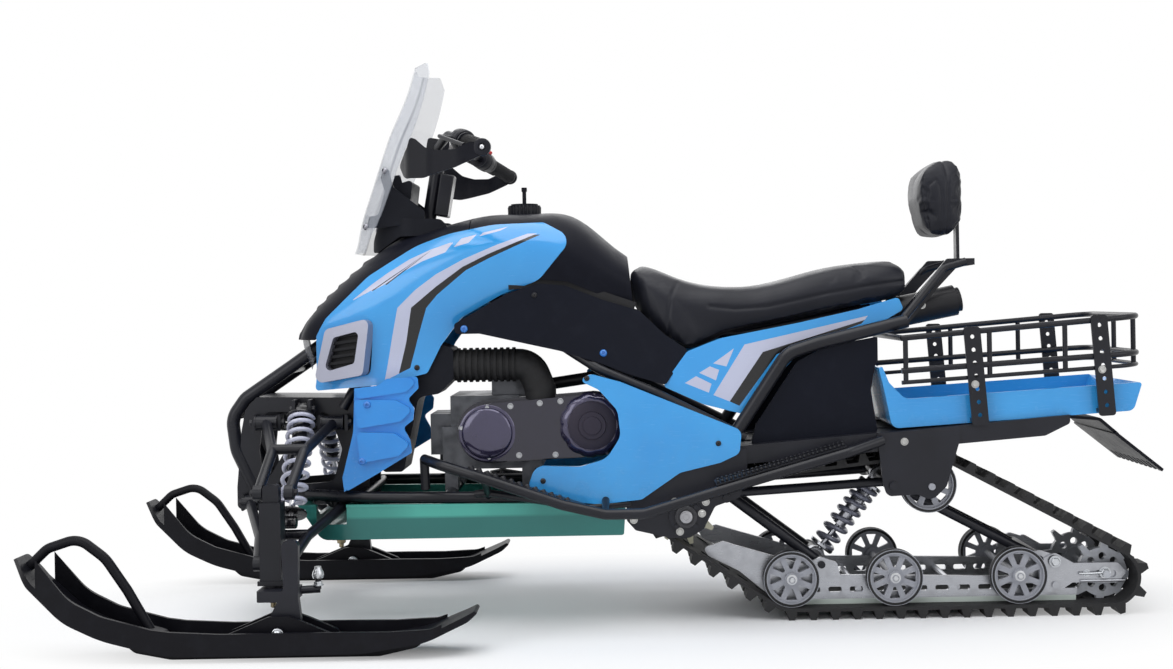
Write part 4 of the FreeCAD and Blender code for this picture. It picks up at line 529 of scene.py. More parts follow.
def swept(path, profile, up=(0.0, 0.0, 1.0)):
    """A profile carried along a path: each section stands square to it, with its second axis towards up."""
    way = unit(np.gradient(path, axis=0))
    side = unit(np.cross(way, up))
    return carried(path, side, np.cross(side, way), profile)


def circle(radius, count):
    """A round profile."""
    angle = 2 * math.pi * np.arange(count) / count
    return np.stack([radius * np.cos(angle), radius * np.sin(angle)], -1)


def brick(width, height):
    """A rectangular profile."""
    w, h = width / 2, height / 2
    return np.array([(-w, -h), (w, -h), (w, h), (-w, h)])


def coil_line(start, end, radius, turns, tight):
    """The line of a spring: a helix whose rise is slow at the start by the tight share, and flatter at both ends."""
    t = np.linspace(0, 1, turns * COIL_STEPS + 1)
    rise = t + tight * (t ** 2 - t)
    flat = 1.0 / turns
    rise = np.interp(t, [0, flat * 0.8, 1 - flat * 0.8, 1], [0, 0.02, 0.98, 1.0]) * 0.35 + rise * 0.65
    side, up = square_to((end - start)[None])
    angle = 2 * math.pi * turns * t
    ring = np.cos(angle)[:, None] * side + np.sin(angle)[:, None] * up
    return start + rise[:, None] * (end - start) + radius * ring


def spring(start, end, radius, wire, turns, tight):
    """A coil spring: a round wire carried along its helix, each section square to it by the axis of the coil."""
    line = coil_line(start, end, radius, turns, tight)
    way = unit(np.gradient(line, axis=0))
    top = unit(np.cross(np.cross(way, unit(end - start)), way))
    return carried(line, np.cross(way, top), top, circle(wire, 10))


def mirrored(part):
    """The same form on the other side, its faces turned so that they still point outwards."""
    verts, faces = part
    return verts * np.array([1.0, -1.0, 1.0]), faces[:, ::-1]


def both(*parts):
    """Left forms and their mirror images."""
    return list(parts) + [mirrored(part) for part in parts]


def piece(name, parts, finish, body=CHASSIS, replaces=()):
    """One object from forms (points, faces): doubles merged, faces outwards, smooth below an angle, riding a body."""
    start, verts, faces = 0, [], []
    for points, corners in parts:
        verts.append(points)
        faces += (corners + start).tolist()
        start += len(points)
    mesh = bpy.data.meshes.new(name)
    mesh.from_pydata(np.vstack(verts).tolist(), [], faces)
    work = bmesh.new()
    work.from_mesh(mesh)
    bmesh.ops.remove_doubles(work, verts=work.verts, dist=1e-6)
    bmesh.ops.dissolve_degenerate(work, edges=work.edges, dist=1e-7)
    bmesh.ops.recalc_face_normals(work, faces=work.faces)
    work.to_mesh(mesh)
    work.free()
    mesh.polygons.foreach_set("use_smooth", np.ones(len(mesh.polygons), bool))
    mesh.set_sharp_from_angle(angle=SMOOTH_BELOW)
    thing = bpy.data.objects.new(name, mesh)
    bpy.context.scene.collection.objects.link(thing)
    mesh.materials.append(finish)
    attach(thing, body)
    if replaces:
        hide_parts(*replaces)


def cover(finish, *nodes):
    """Gives carried-over nodes their finish in every one of their material slots."""
    for name in nodes:
        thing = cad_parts[name]
        if not thing.material_slots:
            raise RuntimeError(f"{name} has no material slot")
        for place in thing.material_slots:
            place.material = finish


def outer_y(node, x, z, side):
    """The lateral place in metres, and the normal, where a node is first met from outside at a side-view point."""
    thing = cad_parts[node]
    hit, where, normal, _ = thing.ray_cast(Vector((x, side * 1.0, z)), Vector((0.0, -side, 0.0)))
    if not hit:
        raise RuntimeError(f"nothing of {node} at {x:.3f}, {z:.3f}")
    return where.y, normal


def hex_head(radius, height):
    """A hexagon bolt head with a chamfered crown and a washer under it."""
    def six(angle):
        """A hexagon's radius: one over the cosine of the angle from the middle of its nearest flat."""
        return 1.0 / np.cos((angle + math.pi / 6) % (math.pi / 3) - math.pi / 6)
    washer = turned([(0, 0), (0, radius * 1.5), (height * 0.22, radius * 1.5), (height * 0.22, 0)], 24)
    head = turned([(height * 0.2, 0), (height * 0.2, radius), (height * 0.85, radius), (height, radius * 0.86),
                   (height * 0.94, radius * 0.5), (height * 0.94, 0)], 24, lobes=six)
    verts = np.vstack([washer[0], head[0]])
    return verts, np.vstack([washer[1], head[1] + len(washer[0])])


def button_head(radius, height):
    """A domed bolt head with a round socket in its crown."""
    t = np.linspace(0, math.pi / 2, 6)
    dome = [(height * math.sin(a), radius * math.cos(a) ** 0.6 if math.cos(a) > 1e-3 else 0) for a in t[:-1]]
    profile = [(0, 0)] + dome + [(height * 0.98, radius * 0.42), (height * 0.5, radius * 0.38), (height * 0.5, 0)]
    return turned(profile, 20)


def bolts_on(node, spots, head, side):
    """Bolt heads stood on a node where its outside lies at each (x, z) in millimetres."""
    places, ways = [], []
    for x, z in spots:
        y, normal = outer_y(node, x / 1000, z / 1000, side)
        places.append((x / 1000, y - side * BOLT_SINK, z / 1000))
        ways.append((0, side, 0) if abs(normal.y) < 0.5 else tuple(normal if normal.y * side > 0 else -normal))
    return copies(head, places, ways)


# Soft pieces

def read_points(mesh):
    """The points of a mesh as one array."""
    points = np.empty(len(mesh.vertices) * 3)
    mesh.vertices.foreach_get("co", points)
    return points.reshape(-1, 3)


def read_normals(mesh):
    """The normals at the points of a mesh as one array."""
    normals = np.empty(len(mesh.vertices) * 3)
    mesh.vertex_normals.foreach_get("vector", normals)
    return normals.reshape(-1, 3)


def baked(thing):
    """The mesh of an object with its modifiers worked out."""
    return bpy.data.meshes.new_from_object(thing.evaluated_get(bpy.context.evaluated_depsgraph_get()))


def seat_form(points):
    """The seat's soft front: y is widened by a factor, x moves ahead by up to 10 mm, and z is drawn down by a drop
    times the share of the way from brow to edge, to the power 1.3. All four lines are read along x."""
    x, y, z = (points * 1000.0).T
    places = (-337, -274, -236, -174, -144, -96, -58, -40)
    brow = np.interp(x, places, (742, 742, 750, 760, 775, 800, 806, 810))
    edge = np.interp(x, places, (700, 690, 696, 706, 724, 756, 790, 795))
    drop = np.interp(x, places, (0, 2, 20, 54, 52, 46, 12, 8))
    wide = np.interp(x, places, (1.0, 1.02, 1.06, 1.13, 1.16, 1.16, 1.04, 1.02))
    share = np.clip((brow - z) / (brow - edge), 0.0, 1.0)
    ahead = 10.0 * np.clip((x + 200.0) / 120.0, 0.0, 1.0)
    return np.stack([x + ahead, y * wide, z - drop * share ** 1.3], -1) / 1000.0


def pad_from(node, name, inset, voxel, cap, finish, form=None):
    """A padded copy of a node: remeshed evenly, formed, drawn in by the inset, blown up as cloth with no point
    moving past the cap, and made finer once."""
    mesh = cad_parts[node].data.copy()
    mesh.materials.clear()
    work = bmesh.new()
    work.from_mesh(mesh)
    bmesh.ops.remove_doubles(work, verts=work.verts, dist=1e-5)
    bmesh.ops.recalc_face_normals(work, faces=work.faces)
    work.to_mesh(mesh)
    work.free()
    thing = bpy.data.objects.new(name, mesh)
    bpy.context.scene.collection.objects.link(thing)
    remesh = thing.modifiers.new("even", "REMESH")
    remesh.mode, remesh.voxel_size = "VOXEL", voxel
    even = baked(thing)
    thing.modifiers.clear()
    thing.data = even
    if form is not None:
        even.vertices.foreach_set("co", form(read_points(even)).ravel())
        even.update()
    start = read_points(even) - read_normals(even) * inset
    even.vertices.foreach_set("co", start.ravel())
    even.update()
    cloth = thing.modifiers.new("stuffing", "CLOTH")
    cloth.settings.use_pressure = True
    cloth.settings.uniform_pressure_force = CLOTH_PRESSURE
    cloth.settings.effector_weights.gravity = 0.0
    cloth.collision_settings.use_collision = False
    scene = bpy.context.scene
    for step in range(1, CLOTH_FRAMES + 1):
        scene.frame_set(step)
    swollen = read_points(baked(thing))
    thing.modifiers.clear()
    scene.frame_set(1)
    moved = swollen - start
    length = np.linalg.norm(moved, axis=1, keepdims=True)
    even.vertices.foreach_set("co", (start + moved * np.minimum(1.0, cap / np.maximum(length, 1e-9))).ravel())
    even.update()
    finer = thing.modifiers.new("finer", "SUBSURF")
    finer.levels = finer.render_levels = 1
    thing.data = baked(thing)
    thing.modifiers.clear()
    thing.data.materials.append(finish)
    thing.data.polygons.foreach_set("use_smooth", np.ones(len(thing.data.polygons), bool))
    return thing


def channel(thing, line, depth, width, only=None):
    """A sewn channel: points sink along their normals by the depth times a bell of the distance from a line."""
    mesh = thing.data
    points, normals = read_points(mesh), read_normals(mesh)
    line = np.asarray(line, float)
    flat, nearest = points[:, [0, 2]], np.full(len(points), 1e9)
    for first, second in zip(line[:-1], line[1:]):
        run = second - first
        along = np.clip(((flat - first) @ run) / max(run @ run, 1e-12), 0, 1)
        nearest = np.minimum(nearest, np.linalg.norm(flat - first - along[:, None] * run, axis=1))
    weight = np.exp(-(nearest / width) ** 2)
    if only is not None:
        weight = weight * only(points, normals)
    mesh.vertices.foreach_set("co", (points - normals * (depth * weight)[:, None]).ravel())
    mesh.update()


def on_flank(_, normals):
    """Weights that keep a channel to a pad's sides: 4 times what the sideways normal is over 0.3, within 0 to 1."""
    return np.clip((np.abs(normals[:, 1]) - 0.3) * 4, 0, 1)


# Sizes and colours that a user would change

class SNOWMOBILE_PG_looks(bpy.types.PropertyGroup):
    """The colours of the bodywork and the sizes of its soft and sprung pieces."""

    body_colour: bpy.props.FloatVectorProperty(name="Body colour", description="Colour of the painted panels",
                                               subtype="COLOR", size=4, min=0.0, max=1.0, default=SKY)
    shade_colour: bpy.props.FloatVectorProperty(name="Shade colour",
                                                description="The deeper colour in the paint's clouds",
                                                subtype="COLOR", size=4, min=0.0, max=1.0, default=DEEP)
    pan_colour: bpy.props.FloatVectorProperty(name="Belly pan colour", description="Metallic colour of the belly pan",
                                              subtype="COLOR", size=4, min=0.0, max=1.0, default=seen(36, 108, 104))
    seat_puff: bpy.props.FloatProperty(name="Seat puff", description="How far the seat's cover may swell",
                                       default=0.009, min=0.0, unit="LENGTH")
    back_puff: bpy.props.FloatProperty(name="Backrest puff", description="How far the backrest's cover may swell",
                                       default=0.008, min=0.0, unit="LENGTH")
    spring_wire: bpy.props.FloatProperty(name="Spring wire", description="Radius of the front springs' wire",
                                         default=0.0052, min=0.001, unit="LENGTH")
    front_turns: bpy.props.IntProperty(name="Spring turns", description="Turns of each front spring", default=9,
                                       min=3)
    floor_size: bpy.props.FloatProperty(name="Floor size", description="Half the width of the floor", default=14.0,
                                        unit="LENGTH")
    lamp_power: bpy.props.FloatProperty(name="Lamp power", description="Power of the large soft lamp", default=82.0,
                                        unit="POWER")
    sky_level: bpy.props.FloatProperty(name="Sky level",
                                       description="How bright the studio's soft light is all round",
                                       default=0.4, min=0.0)


def looks():
    """The add-on's colours and sizes on the scene."""
    return bpy.context.scene.snowmobile_looks


# Steps that make the pieces

class SNOWMOBILE_OT_panels(bpy.types.Operator):
    """Paints the fairings, tail, well and step panels and the tray, and finishes the grille frames and belly pan"""

    bl_idname = "snowmobile.panels"
    bl_label = "Painted panels"

    def execute(self, context):
        base, deep = tuple(looks().body_colour), tuple(looks().shade_colour)
        cover(paint("fairing_paint", base, deep, fairing_decals), "side_fairings")
        cover(paint("tail_paint", base, deep, tail_decals), "tail_panels")
        cover(paint("panel_paint", base, deep), "foot_well_panels")
        cover(paint("step_paint", seen(44, 142, 222), seen(28, 104, 190)), "lower_fairings")
        cover(paint("tray_paint", base, deep, gloss=0.22), "cargo_tray")
        cover(metallic("grille_silver", seen(158, 160, 176), 0.34, coat=0.2), "grille_frames")
        # the belly pan's ledge gets a painted highlight
        cover(metallic("pan_metal", tuple(looks().pan_colour), 0.3, ledge=0.264), "belly_pan")
        return {"FINISHED"}


class SNOWMOBILE_OT_plastics(bpy.types.Operator):
    """Finishes the black covers, the dash, the grille inserts, the guards, the flap and the skis"""

    bl_idname = "snowmobile.plastics"
    bl_label = "Black plastics"

    def execute(self, context):
        cover(moulded("hood_plastic", seen(12, 14, 25), 0.46, 700.0, specular=0.12), "hood_cover", "tank_cover")
        cover(moulded("side_plastic", seen(14, 17, 28), 0.5, 1000.0, specular=0.12), "side_covers", "inner_fenders")
        cover(moulded("dash_plastic", seen(17, 19, 27), 0.46, 1100.0, specular=0.14),
              "dash_pod", "fuel_cap", "air_box")
        cover(moulded("louvre_plastic", seen(17, 18, 23), 0.4, 900.0), "grille_inserts")
        cover(moulded("guard_plastic", seen(14, 15, 23), 0.4, 1200.0, specular=0.15), "hand_guards", "snow_flap")
        cover(moulded("ski_plastic", seen(14, 14, 20), 0.42, 800.0, 0.0002, specular=0.15),
              "ski_left", "ski_right", "ski_loop_left", "ski_loop_right")
        return {"FINISHED"}


class SNOWMOBILE_OT_metals(bpy.types.Operator):
    """Finishes the tubes, plates, silencer, slide rails, oil cooler, engine and belt-drive cover"""

    bl_idname = "snowmobile.metals"
    bl_label = "Metals"

    def execute(self, context):
        cover(powder("tube_coat"), "frame_tubes", "front_bumper", "front_bulkhead", "lower_arms", "upper_arms",
              "spindle_housings", "cargo_rack", "backrest_frame", "handlebar", "footrests")
        cover(powder("plate_coat", (0.0095, 0.010, 0.0145, 1.0), 0.38), "tunnel", "track_brackets", "suspension_arms",
              "knuckle_left", "knuckle_right")
        cover(powder("exhaust_coat", (0.0095, 0.0095, 0.012, 1.0), 0.42), "silencer")
        cover(brushed("rail_metal", (0.40, 0.41, 0.44, 1.0), strip=0.0405), "slide_rails")
        cover(brushed("cooler_metal", (0.5, 0.51, 0.54, 1.0), (0, math.pi / 2, 0), 0.34), "oil_cooler")
        cover(cast("engine_metal"), "engine_block")
        cover(drive_gloss("drive_lacquer"), "transmission_case")
        return {"FINISHED"}


class SNOWMOBILE_OT_running_gear(bpy.types.Operator):
    """Finishes the track, wheels, sprockets and duct, and adds the wheels' tyres and bearing caps"""

    bl_idname = "snowmobile.running_gear"
    bl_label = "Running gear"

    def execute(self, context):
        cover(rubber("track_rubber", (0.016, 0.016, 0.017, 1.0), 380.0), "track")
        cover(plastic("wheel_plastic", seen(150, 152, 160), 0.42), "idler_wheels")
        cover(sprocket_nylon("sprocket_nylon"), "track_sprockets")
        cover(rubber("hose_rubber", (0.0085, 0.0085, 0.0095, 1.0), 900.0), "intake_duct")
        tyre = rubber("tyre_rubber", (0.015, 0.015, 0.016, 1.0), 700.0)
        zinc = brushed("zinc", (0.55, 0.56, 0.58, 1.0), rough=0.32)
        r, w = 0.0676, 0.0124  # a tyre's radius and half width
        wheel_y, cap_out, head_out = 0.165, 0.0138, 0.004  # how far out wheels, their caps and the bolt heads stand
        bead = [(-w, r - 0.0075), (-w, r - 0.002), (-w + 0.0022, r), (-0.003, r + 0.0002), (0.003, r + 0.0002),
                (w - 0.0022, r), (w, r - 0.002), (w, r - 0.0075), (-w, r - 0.0075)]
        centres = [(-0.423, 0.0958), (-0.672, 0.0958), (-0.971, 0.0958), (-0.756, 0.318)]
        places = np.array([(x, side * wheel_y, z) for x, z in centres for side in (1, -1)])
        piece("wheel_tyres", [copies(turned(bead, 56), places, (0, 1, 0))], tyre)
        cap = turned(mm((0, 0), (0, 13), (3.5, 12.5), (4.5, 9), (4.5, 0)), 24)
        ways = np.array([0, 1, 0]) * np.sign(places[:, 1:2])
        outs = places + ways * cap_out
        heads = copies(hex_head(0.0058, 0.006), outs + ways * head_out, ways)
        piece("wheel_bearing_caps", [copies(cap, outs, ways), heads], zinc)
        return {"FINISHED"}


class SNOWMOBILE_OT_glass(bpy.types.Operator):
    """Finishes the windshield and the lamp lenses"""

    bl_idname = "snowmobile.glass"
    bl_label = "Screen and lamps"

    def execute(self, context):
        cover(clear_screen("screen_sheet"), "windshield")
        cover(lamp_glass("lamp_lens"), "headlamps")
        return {"FINISHED"}


class SNOWMOBILE_OT_seat(bpy.types.Operator):
    """Makes the padded seat, its side seams and its front piping"""

    bl_idname = "snowmobile.seat"
    bl_label = "Seat"

    def execute(self, context):
        skin = vinyl("seat_vinyl")
        seat = pad_from("seat", "seat_cushion", 0.006, 0.0062, looks().seat_puff, skin, seat_form)
        seam = mm((-742, 812), (-640, 800), (-527, 782), (-451, 766), (-380, 752), (-300, 748), (-240, 756))
        channel(seat, seam, 0.0035, 0.005, only=on_flank)
        front = mm((-140, 655), (-138, 720), (-146, 780), (-168, 826))
        channel(seat, front, 0.0022, 0.004, only=on_flank)
        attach(seat, CHASSIS)
        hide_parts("seat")
        return {"FINISHED"}


class SNOWMOBILE_OT_backrest(bpy.types.Operator):
    """Makes the padded backrest with its side panels and piping"""

    bl_idname = "snowmobile.backrest"
    bl_label = "Backrest"

    def execute(self, context):
        pad = pad_from("backrest_pad", "backrest_cushion", 0.005, 0.0045, looks().back_puff, vinyl("backrest_vinyl"))
        low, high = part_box("backrest_pad")
        x1, z0, z1 = low[0], low[2], high[2]
        piping = [(x1 + 0.040, z0 - 0.01), (x1 + 0.036, z0 + 0.05), (x1 + 0.036, z1 - 0.05), (x1 + 0.043, z1 + 0.01)]
        channel(pad, piping, 0.0028, 0.0032)
        panel = [(x1 + 0.056, z0 + 0.014), (x1 + 0.052, z0 + 0.10), (x1 + 0.055, z1 - 0.075),
                 (x1 + 0.064, z1 - 0.058), (x1 + 0.082, z1 - 0.072), (x1 + 0.086, z1 - 0.10),
                 (x1 + 0.085, z0 + 0.05), (x1 + 0.080, z0 + 0.014), (x1 + 0.056, z0 + 0.014)]
        channel(pad, panel, 0.0022, 0.003, only=on_flank)
        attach(pad, CHASSIS)
        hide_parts("backrest_pad")
        return {"FINISHED"}


class SNOWMOBILE_OT_front_springs(bpy.types.Operator):
    """Makes the two front coil-over dampers with their seats, rods and eyes"""

    bl_idname = "snowmobile.front_springs"
    bl_label = "Front springs"

    def execute(self, context):
        wire, turns = looks().spring_wire, looks().front_turns
        top, foot = mm(757, 122, 522), mm(752, 296, 272)
        way = unit(foot - top)
        span = float(np.linalg.norm(foot - top))
        coat = lacquer("spring_paint", seen(196, 198, 216), 0.24, 0.0, 0.3)
        gap = way * 0.027  # from each eye to the coil's end
        coils = both(spring(top + gap, foot - gap, 0.034 - wire, wire, turns, COIL_TIGHT))
        piece("front_spring_coils", coils, coat, replaces=("front_shocks",))
        body = [(0.012, 0.0), (0.012, 0.016), (0.02, 0.018), (span * 0.6, 0.018), (span * 0.61, 0.015),
                (span * 0.62, 0.0)]
        seats = mm((19, 0), (19, 30), (21, 36.5), (24, 36.5), (26.5, 30), (26.5, 0))
        low_seat = [(span - along, radius) for along, radius in seats[::-1]]
        dark = lacquer("damper_black", (0.008, 0.008, 0.011, 1.0), 0.24)
        parts = both(turned(body, 28, top, way), turned(seats, 36, top, way), turned(low_seat, 36, top, way))
        piece("front_damper_bodies", parts, dark)
        rod = [(span * 0.55, 0.0), (span * 0.55, 0.0075), (span - 0.012, 0.0075), (span - 0.012, 0.0)]
        eye = mm((-15, 0), (-15, 13), (-12, 15), (12, 15), (15, 13), (15, 0))
        steel = brushed("damper_steel", (0.6, 0.6, 0.63, 1.0), rough=0.18)
        piece("front_damper_rods", both(turned(rod, 20, top, way)), steel)
        piece("front_damper_eyes", both(turned(eye, 24, top, (1, 0, 0)), turned(eye, 24, foot, (1, 0, 0))), dark)
        return {"FINISHED"}


class SNOWMOBILE_OT_track_spring(bpy.types.Operator):
    """Makes the coil-over damper inside the track"""

    bl_idname = "snowmobile.track_spring"
    bl_label = "Track spring"

    def execute(self, context):
        top, foot = mm(-664, 0, 322), mm(-500, 0, 124)
        way = unit(foot - top)
        span = float(np.linalg.norm(foot - top))
        coat = lacquer("track_spring_paint", seen(132, 134, 150), 0.28, 0.2, 0.3)
        gap, radius, wire, turns = way * 0.034, 0.0256, 0.0062, 8
        coils = [spring(top + gap, foot - gap, radius, wire, turns, COIL_TIGHT)]
        piece("track_spring_coils", coils, coat, replaces=("track_shock",))
        body = [(0.012, 0.0), (0.012, 0.0165), (span * 0.3, 0.0175), (span * 0.31, 0.019), (span * 0.34, 0.019),
                (span * 0.35, 0.0165), (span * 0.62, 0.0165), (span * 0.63, 0.0)]
        rod = [(span * 0.5, 0.0), (span * 0.5, 0.0068), (span - 0.014, 0.0068), (span - 0.014, 0.0)]
        seats = mm((26, 0), (26, 29), (29, 32), (35, 32), (35, 0))
        low_seat = [(span - along, radius) for along, radius in seats[::-1]]
        eye = mm((-17, 13.5), (-17, 20.5), (-14, 22), (14, 22), (17, 20.5), (17, 13.5), (-17, 13.5))
        parts = [turned(body, 24, top, way), turned(rod, 18, top, way), turned(seats, 32, top, way),
                 turned(low_seat, 32, top, way), turned(eye, 32, top, (0, 1, 0))]
        eye_low = [(along, radius + 0.002 if radius < 0.015 else radius) for along, radius in eye]
        parts.append(turned(eye_low, 32, foot, (0, 1, 0)))
        piece("track_damper", parts, brushed("track_damper_steel", (0.45, 0.46, 0.5, 1.0), rough=0.25))
        return {"FINISHED"}


class SNOWMOBILE_OT_bolts(bpy.types.Operator):
    """Stands the bolt heads on the panels, covers, brackets, rack and silencer"""

    bl_idname = "snowmobile.bolts"
    bl_label = "Bolts"

    def execute(self, context):
        zinc = brushed("bolt_zinc", (0.46, 0.46, 0.45, 1.0), rough=0.3)
        black = powder("bolt_black", (0.012, 0.012, 0.014, 1.0), 0.3)
        blue = paint("bolt_blue", seen(52, 124, 206), seen(36, 92, 166))
        sets = {
            "zinc_bolts": (zinc, hex_head(0.0062, 0.006), (
                ("track_brackets", ((-693, 426), (-144, 293), (-218, 291), (-208, 265), (-155, 223), (-46, 251))),
                ("silencer", ((-763, 749),)), ("cargo_rack", ((-862, 560), (-1164, 590))))),
            "black_bolts": (black, button_head(0.0068, 0.0045), (
                ("foot_well_panels", ((168, 348), (60, 590), (-250, 430))),
                ("side_covers", ((183, 790),)), ("side_fairings", ((470, 620),)))),
            "blue_bolts": (blue, button_head(0.009, 0.006), (
                ("side_covers", ((20, 648), (352, 712))), ("lower_fairings", ((586, 535), (600, 400))))),
        }
        for name, (finish, head, groups) in sets.items():
            piece(name, [bolts_on(node, spots, head, side) for node, spots in groups for side in (1.0, -1.0)], finish)
        return {"FINISHED"}


class SNOWMOBILE_OT_stage(bpy.types.Operator):
    """Lays the pale floor, hangs the soft lamps and sets the camera at the picture's angle"""

    bl_idname = "snowmobile.stage"
    bl_label = "Stage, lamps and camera"

    def execute(self, context):
        scene = context.scene
        scene.view_settings.view_transform = "Standard"
        half = looks().floor_size
        mesh = bpy.data.meshes.new("floor")
        mesh.from_pydata([(-half, -half, 0), (half, -half, 0), (half, half, 0), (-half, half, 0)], [], [(0, 1, 2, 3)])
        floor = bpy.data.objects.new("floor", mesh)
        scene.collection.objects.link(floor)
        finish = Finish("floor_pale")
        pale = finish.blend(finish.noise(3.0, 4.0) * 0.3, seen(250, 251, 253), seen(242, 244, 248))
        ground = finish.node("ShaderNodeBsdfPrincipled", None, {"Base Color": pale, "Roughness": 0.7})
        white = finish.node("ShaderNodeEmission", None, {"Color": (1, 1, 1, 1), "Strength": 1.0})
        oval = finish.stretched(0.62, 1.25, 1.0)
        away = finish.node("ShaderNodeVectorMath", {"operation": "LENGTH"}, {0: oval}, "Value")
        fade = finish.ramp(away, (0.55, 0.0), (1.0, 1.0)) * finish.rays("Is Camera Ray", "Is Glossy Ray")
        mesh.materials.append(finish.shown(finish.node("ShaderNodeMixShader", None, {0: fade, 1: ground, 2: white})))
        sky = Finish("studio", bpy.data.worlds.new("studio"))
        scene.world = sky.holder
        level = looks().sky_level
        soft = sky.node("ShaderNodeBackground", None, {"Color": (0.95, 0.97, 1.0, 1.0), "Strength": level})
        bright = sky.node("ShaderNodeBackground", None, {"Color": (1, 1, 1, 1), "Strength": 1.0})
        rays = sky.rays("Is Camera Ray", "Is Glossy Ray", "Is Transmission Ray")
        sky.shown(sky.node("ShaderNodeMixShader", None, {0: rays, 1: soft, 2: bright}))
        lamps = (("lamp_top", (0.2, 0.8, 3.4), 3.2, 1.0), ("lamp_front", (2.6, 3.0, 1.8), 2.2, 0.4),
                 ("lamp_rear", (-2.8, 2.6, 2.0), 2.2, 0.3), ("lamp_far", (0.0, -3.2, 2.2), 2.6, 0.35))
        for name, spot, size, share in lamps:
            light = bpy.data.lights.new(name, "AREA")
            light.energy, light.size = looks().lamp_power * share, size
            lamp = bpy.data.objects.new(name, light)
            lamp.location = spot
            lamp.rotation_euler = (Vector((0, 0, 0.5)) - Vector(spot)).to_track_quat("-Z", "Y").to_euler()
            scene.collection.objects.link(lamp)
        view = bpy.data.cameras.new("camera")
        view.lens, view.sensor_width = 45.0, 36.0
        view.shift_x = view.shift_y = -35.5 / 1173  # pixels of the frame's width
        camera = bpy.data.objects.new("camera", view)
        turn = Matrix.Rotation(math.pi, 4, "Z") @ Matrix.Rotation(math.pi / 2, 4, "X")
        tilt = Matrix.Rotation(math.radians(-1.0), 4, "Z")
        eye = Matrix.Translation((-0.027, 3.7, 0.777))
        camera.matrix_world = eye @ turn @ tilt
        scene.collection.objects.link(camera)
        scene.camera = camera
        return {"FINISHED"}


# Small hard pieces

def row_of(part, spots, way):
    """One form stood the same way at places in millimetres, and again on the other side of the machine."""
    return both(copies(part, mm(*spots), way))


BAR_END, BAR_WAY = mm(281.1, 400.0, 1123.5), unit(np.array([-0.380, 0.901, -0.210]))


class SNOWMOBILE_OT_drive_trim(bpy.types.Operator):
    """Makes the scalloped ring, the hub, the domed front cover and the bolts of the belt-drive cover"""

    bl_idname = "snowmobile.drive_trim"
    bl_label = "Drive cover trim"

    def execute(self, context):
        gloss = lacquer("scallop_lacquer", seen(58, 54, 82), 0.14, 0.5, 0.8)
        matt = moulded("hub_plastic", seen(50, 46, 58), 0.5, 900.0)
        rear, front = mm(50, 157, 474), mm(304, 157, 459)

        def scallops(angle):
            """Eleven lobes: 0.98 plus 0.045 times the size of the cosine of 5.5 times the angle."""
            return 1.0 + 0.045 * np.abs(np.cos(angle * 5.5)) - 0.02

        ring = mm((0, 0), (0, 76.5), (3, 77.5), (9, 74.5), (13.5, 69), (16.5, 63), (17, 59.5), (12, 59), (12, 0))
        piece("drive_scallops", [turned(ring, 132, rear, (0, 1, 0), scallops)], gloss)
        hub = mm((10, 0), (10, 58.3), (15.8, 58.3), (17.2, 56), (17.6, 33.5), (22.2, 32.5), (22.6, 22.5), (25, 21.5),
                 (25.4, 16.5), (25.4, 0))
        piece("drive_hub", [turned(hub, 96, rear, (0, 1, 0))], matt)
        dome = mm((0, 0), (0, 68), (4, 68), (5.5, 65.5), (5.5, 61.5), (8.5, 60), (11.8, 55), (13.8, 42), (14.6, 20),
                  (14.9, 0))
        piece("drive_dome", [turned(dome, 96, front, (0, 1, 0))], gloss)
        spots = ((303, 521), (247, 523), (228, 404), (300, 400), (366, 472), (176, 529), (126, 533), (140, 404))
        face = 157.5  # the lateral place of the cover's flange
        places = mm(*[(x, face, z) for x, z in spots])
        zinc = brushed("cover_zinc", (0.42, 0.43, 0.45, 1.0), rough=0.3)
        piece("drive_bolts", [copies(hex_head(0.0048, 0.006), places, (0, 1, 0))], zinc)
        return {"FINISHED"}


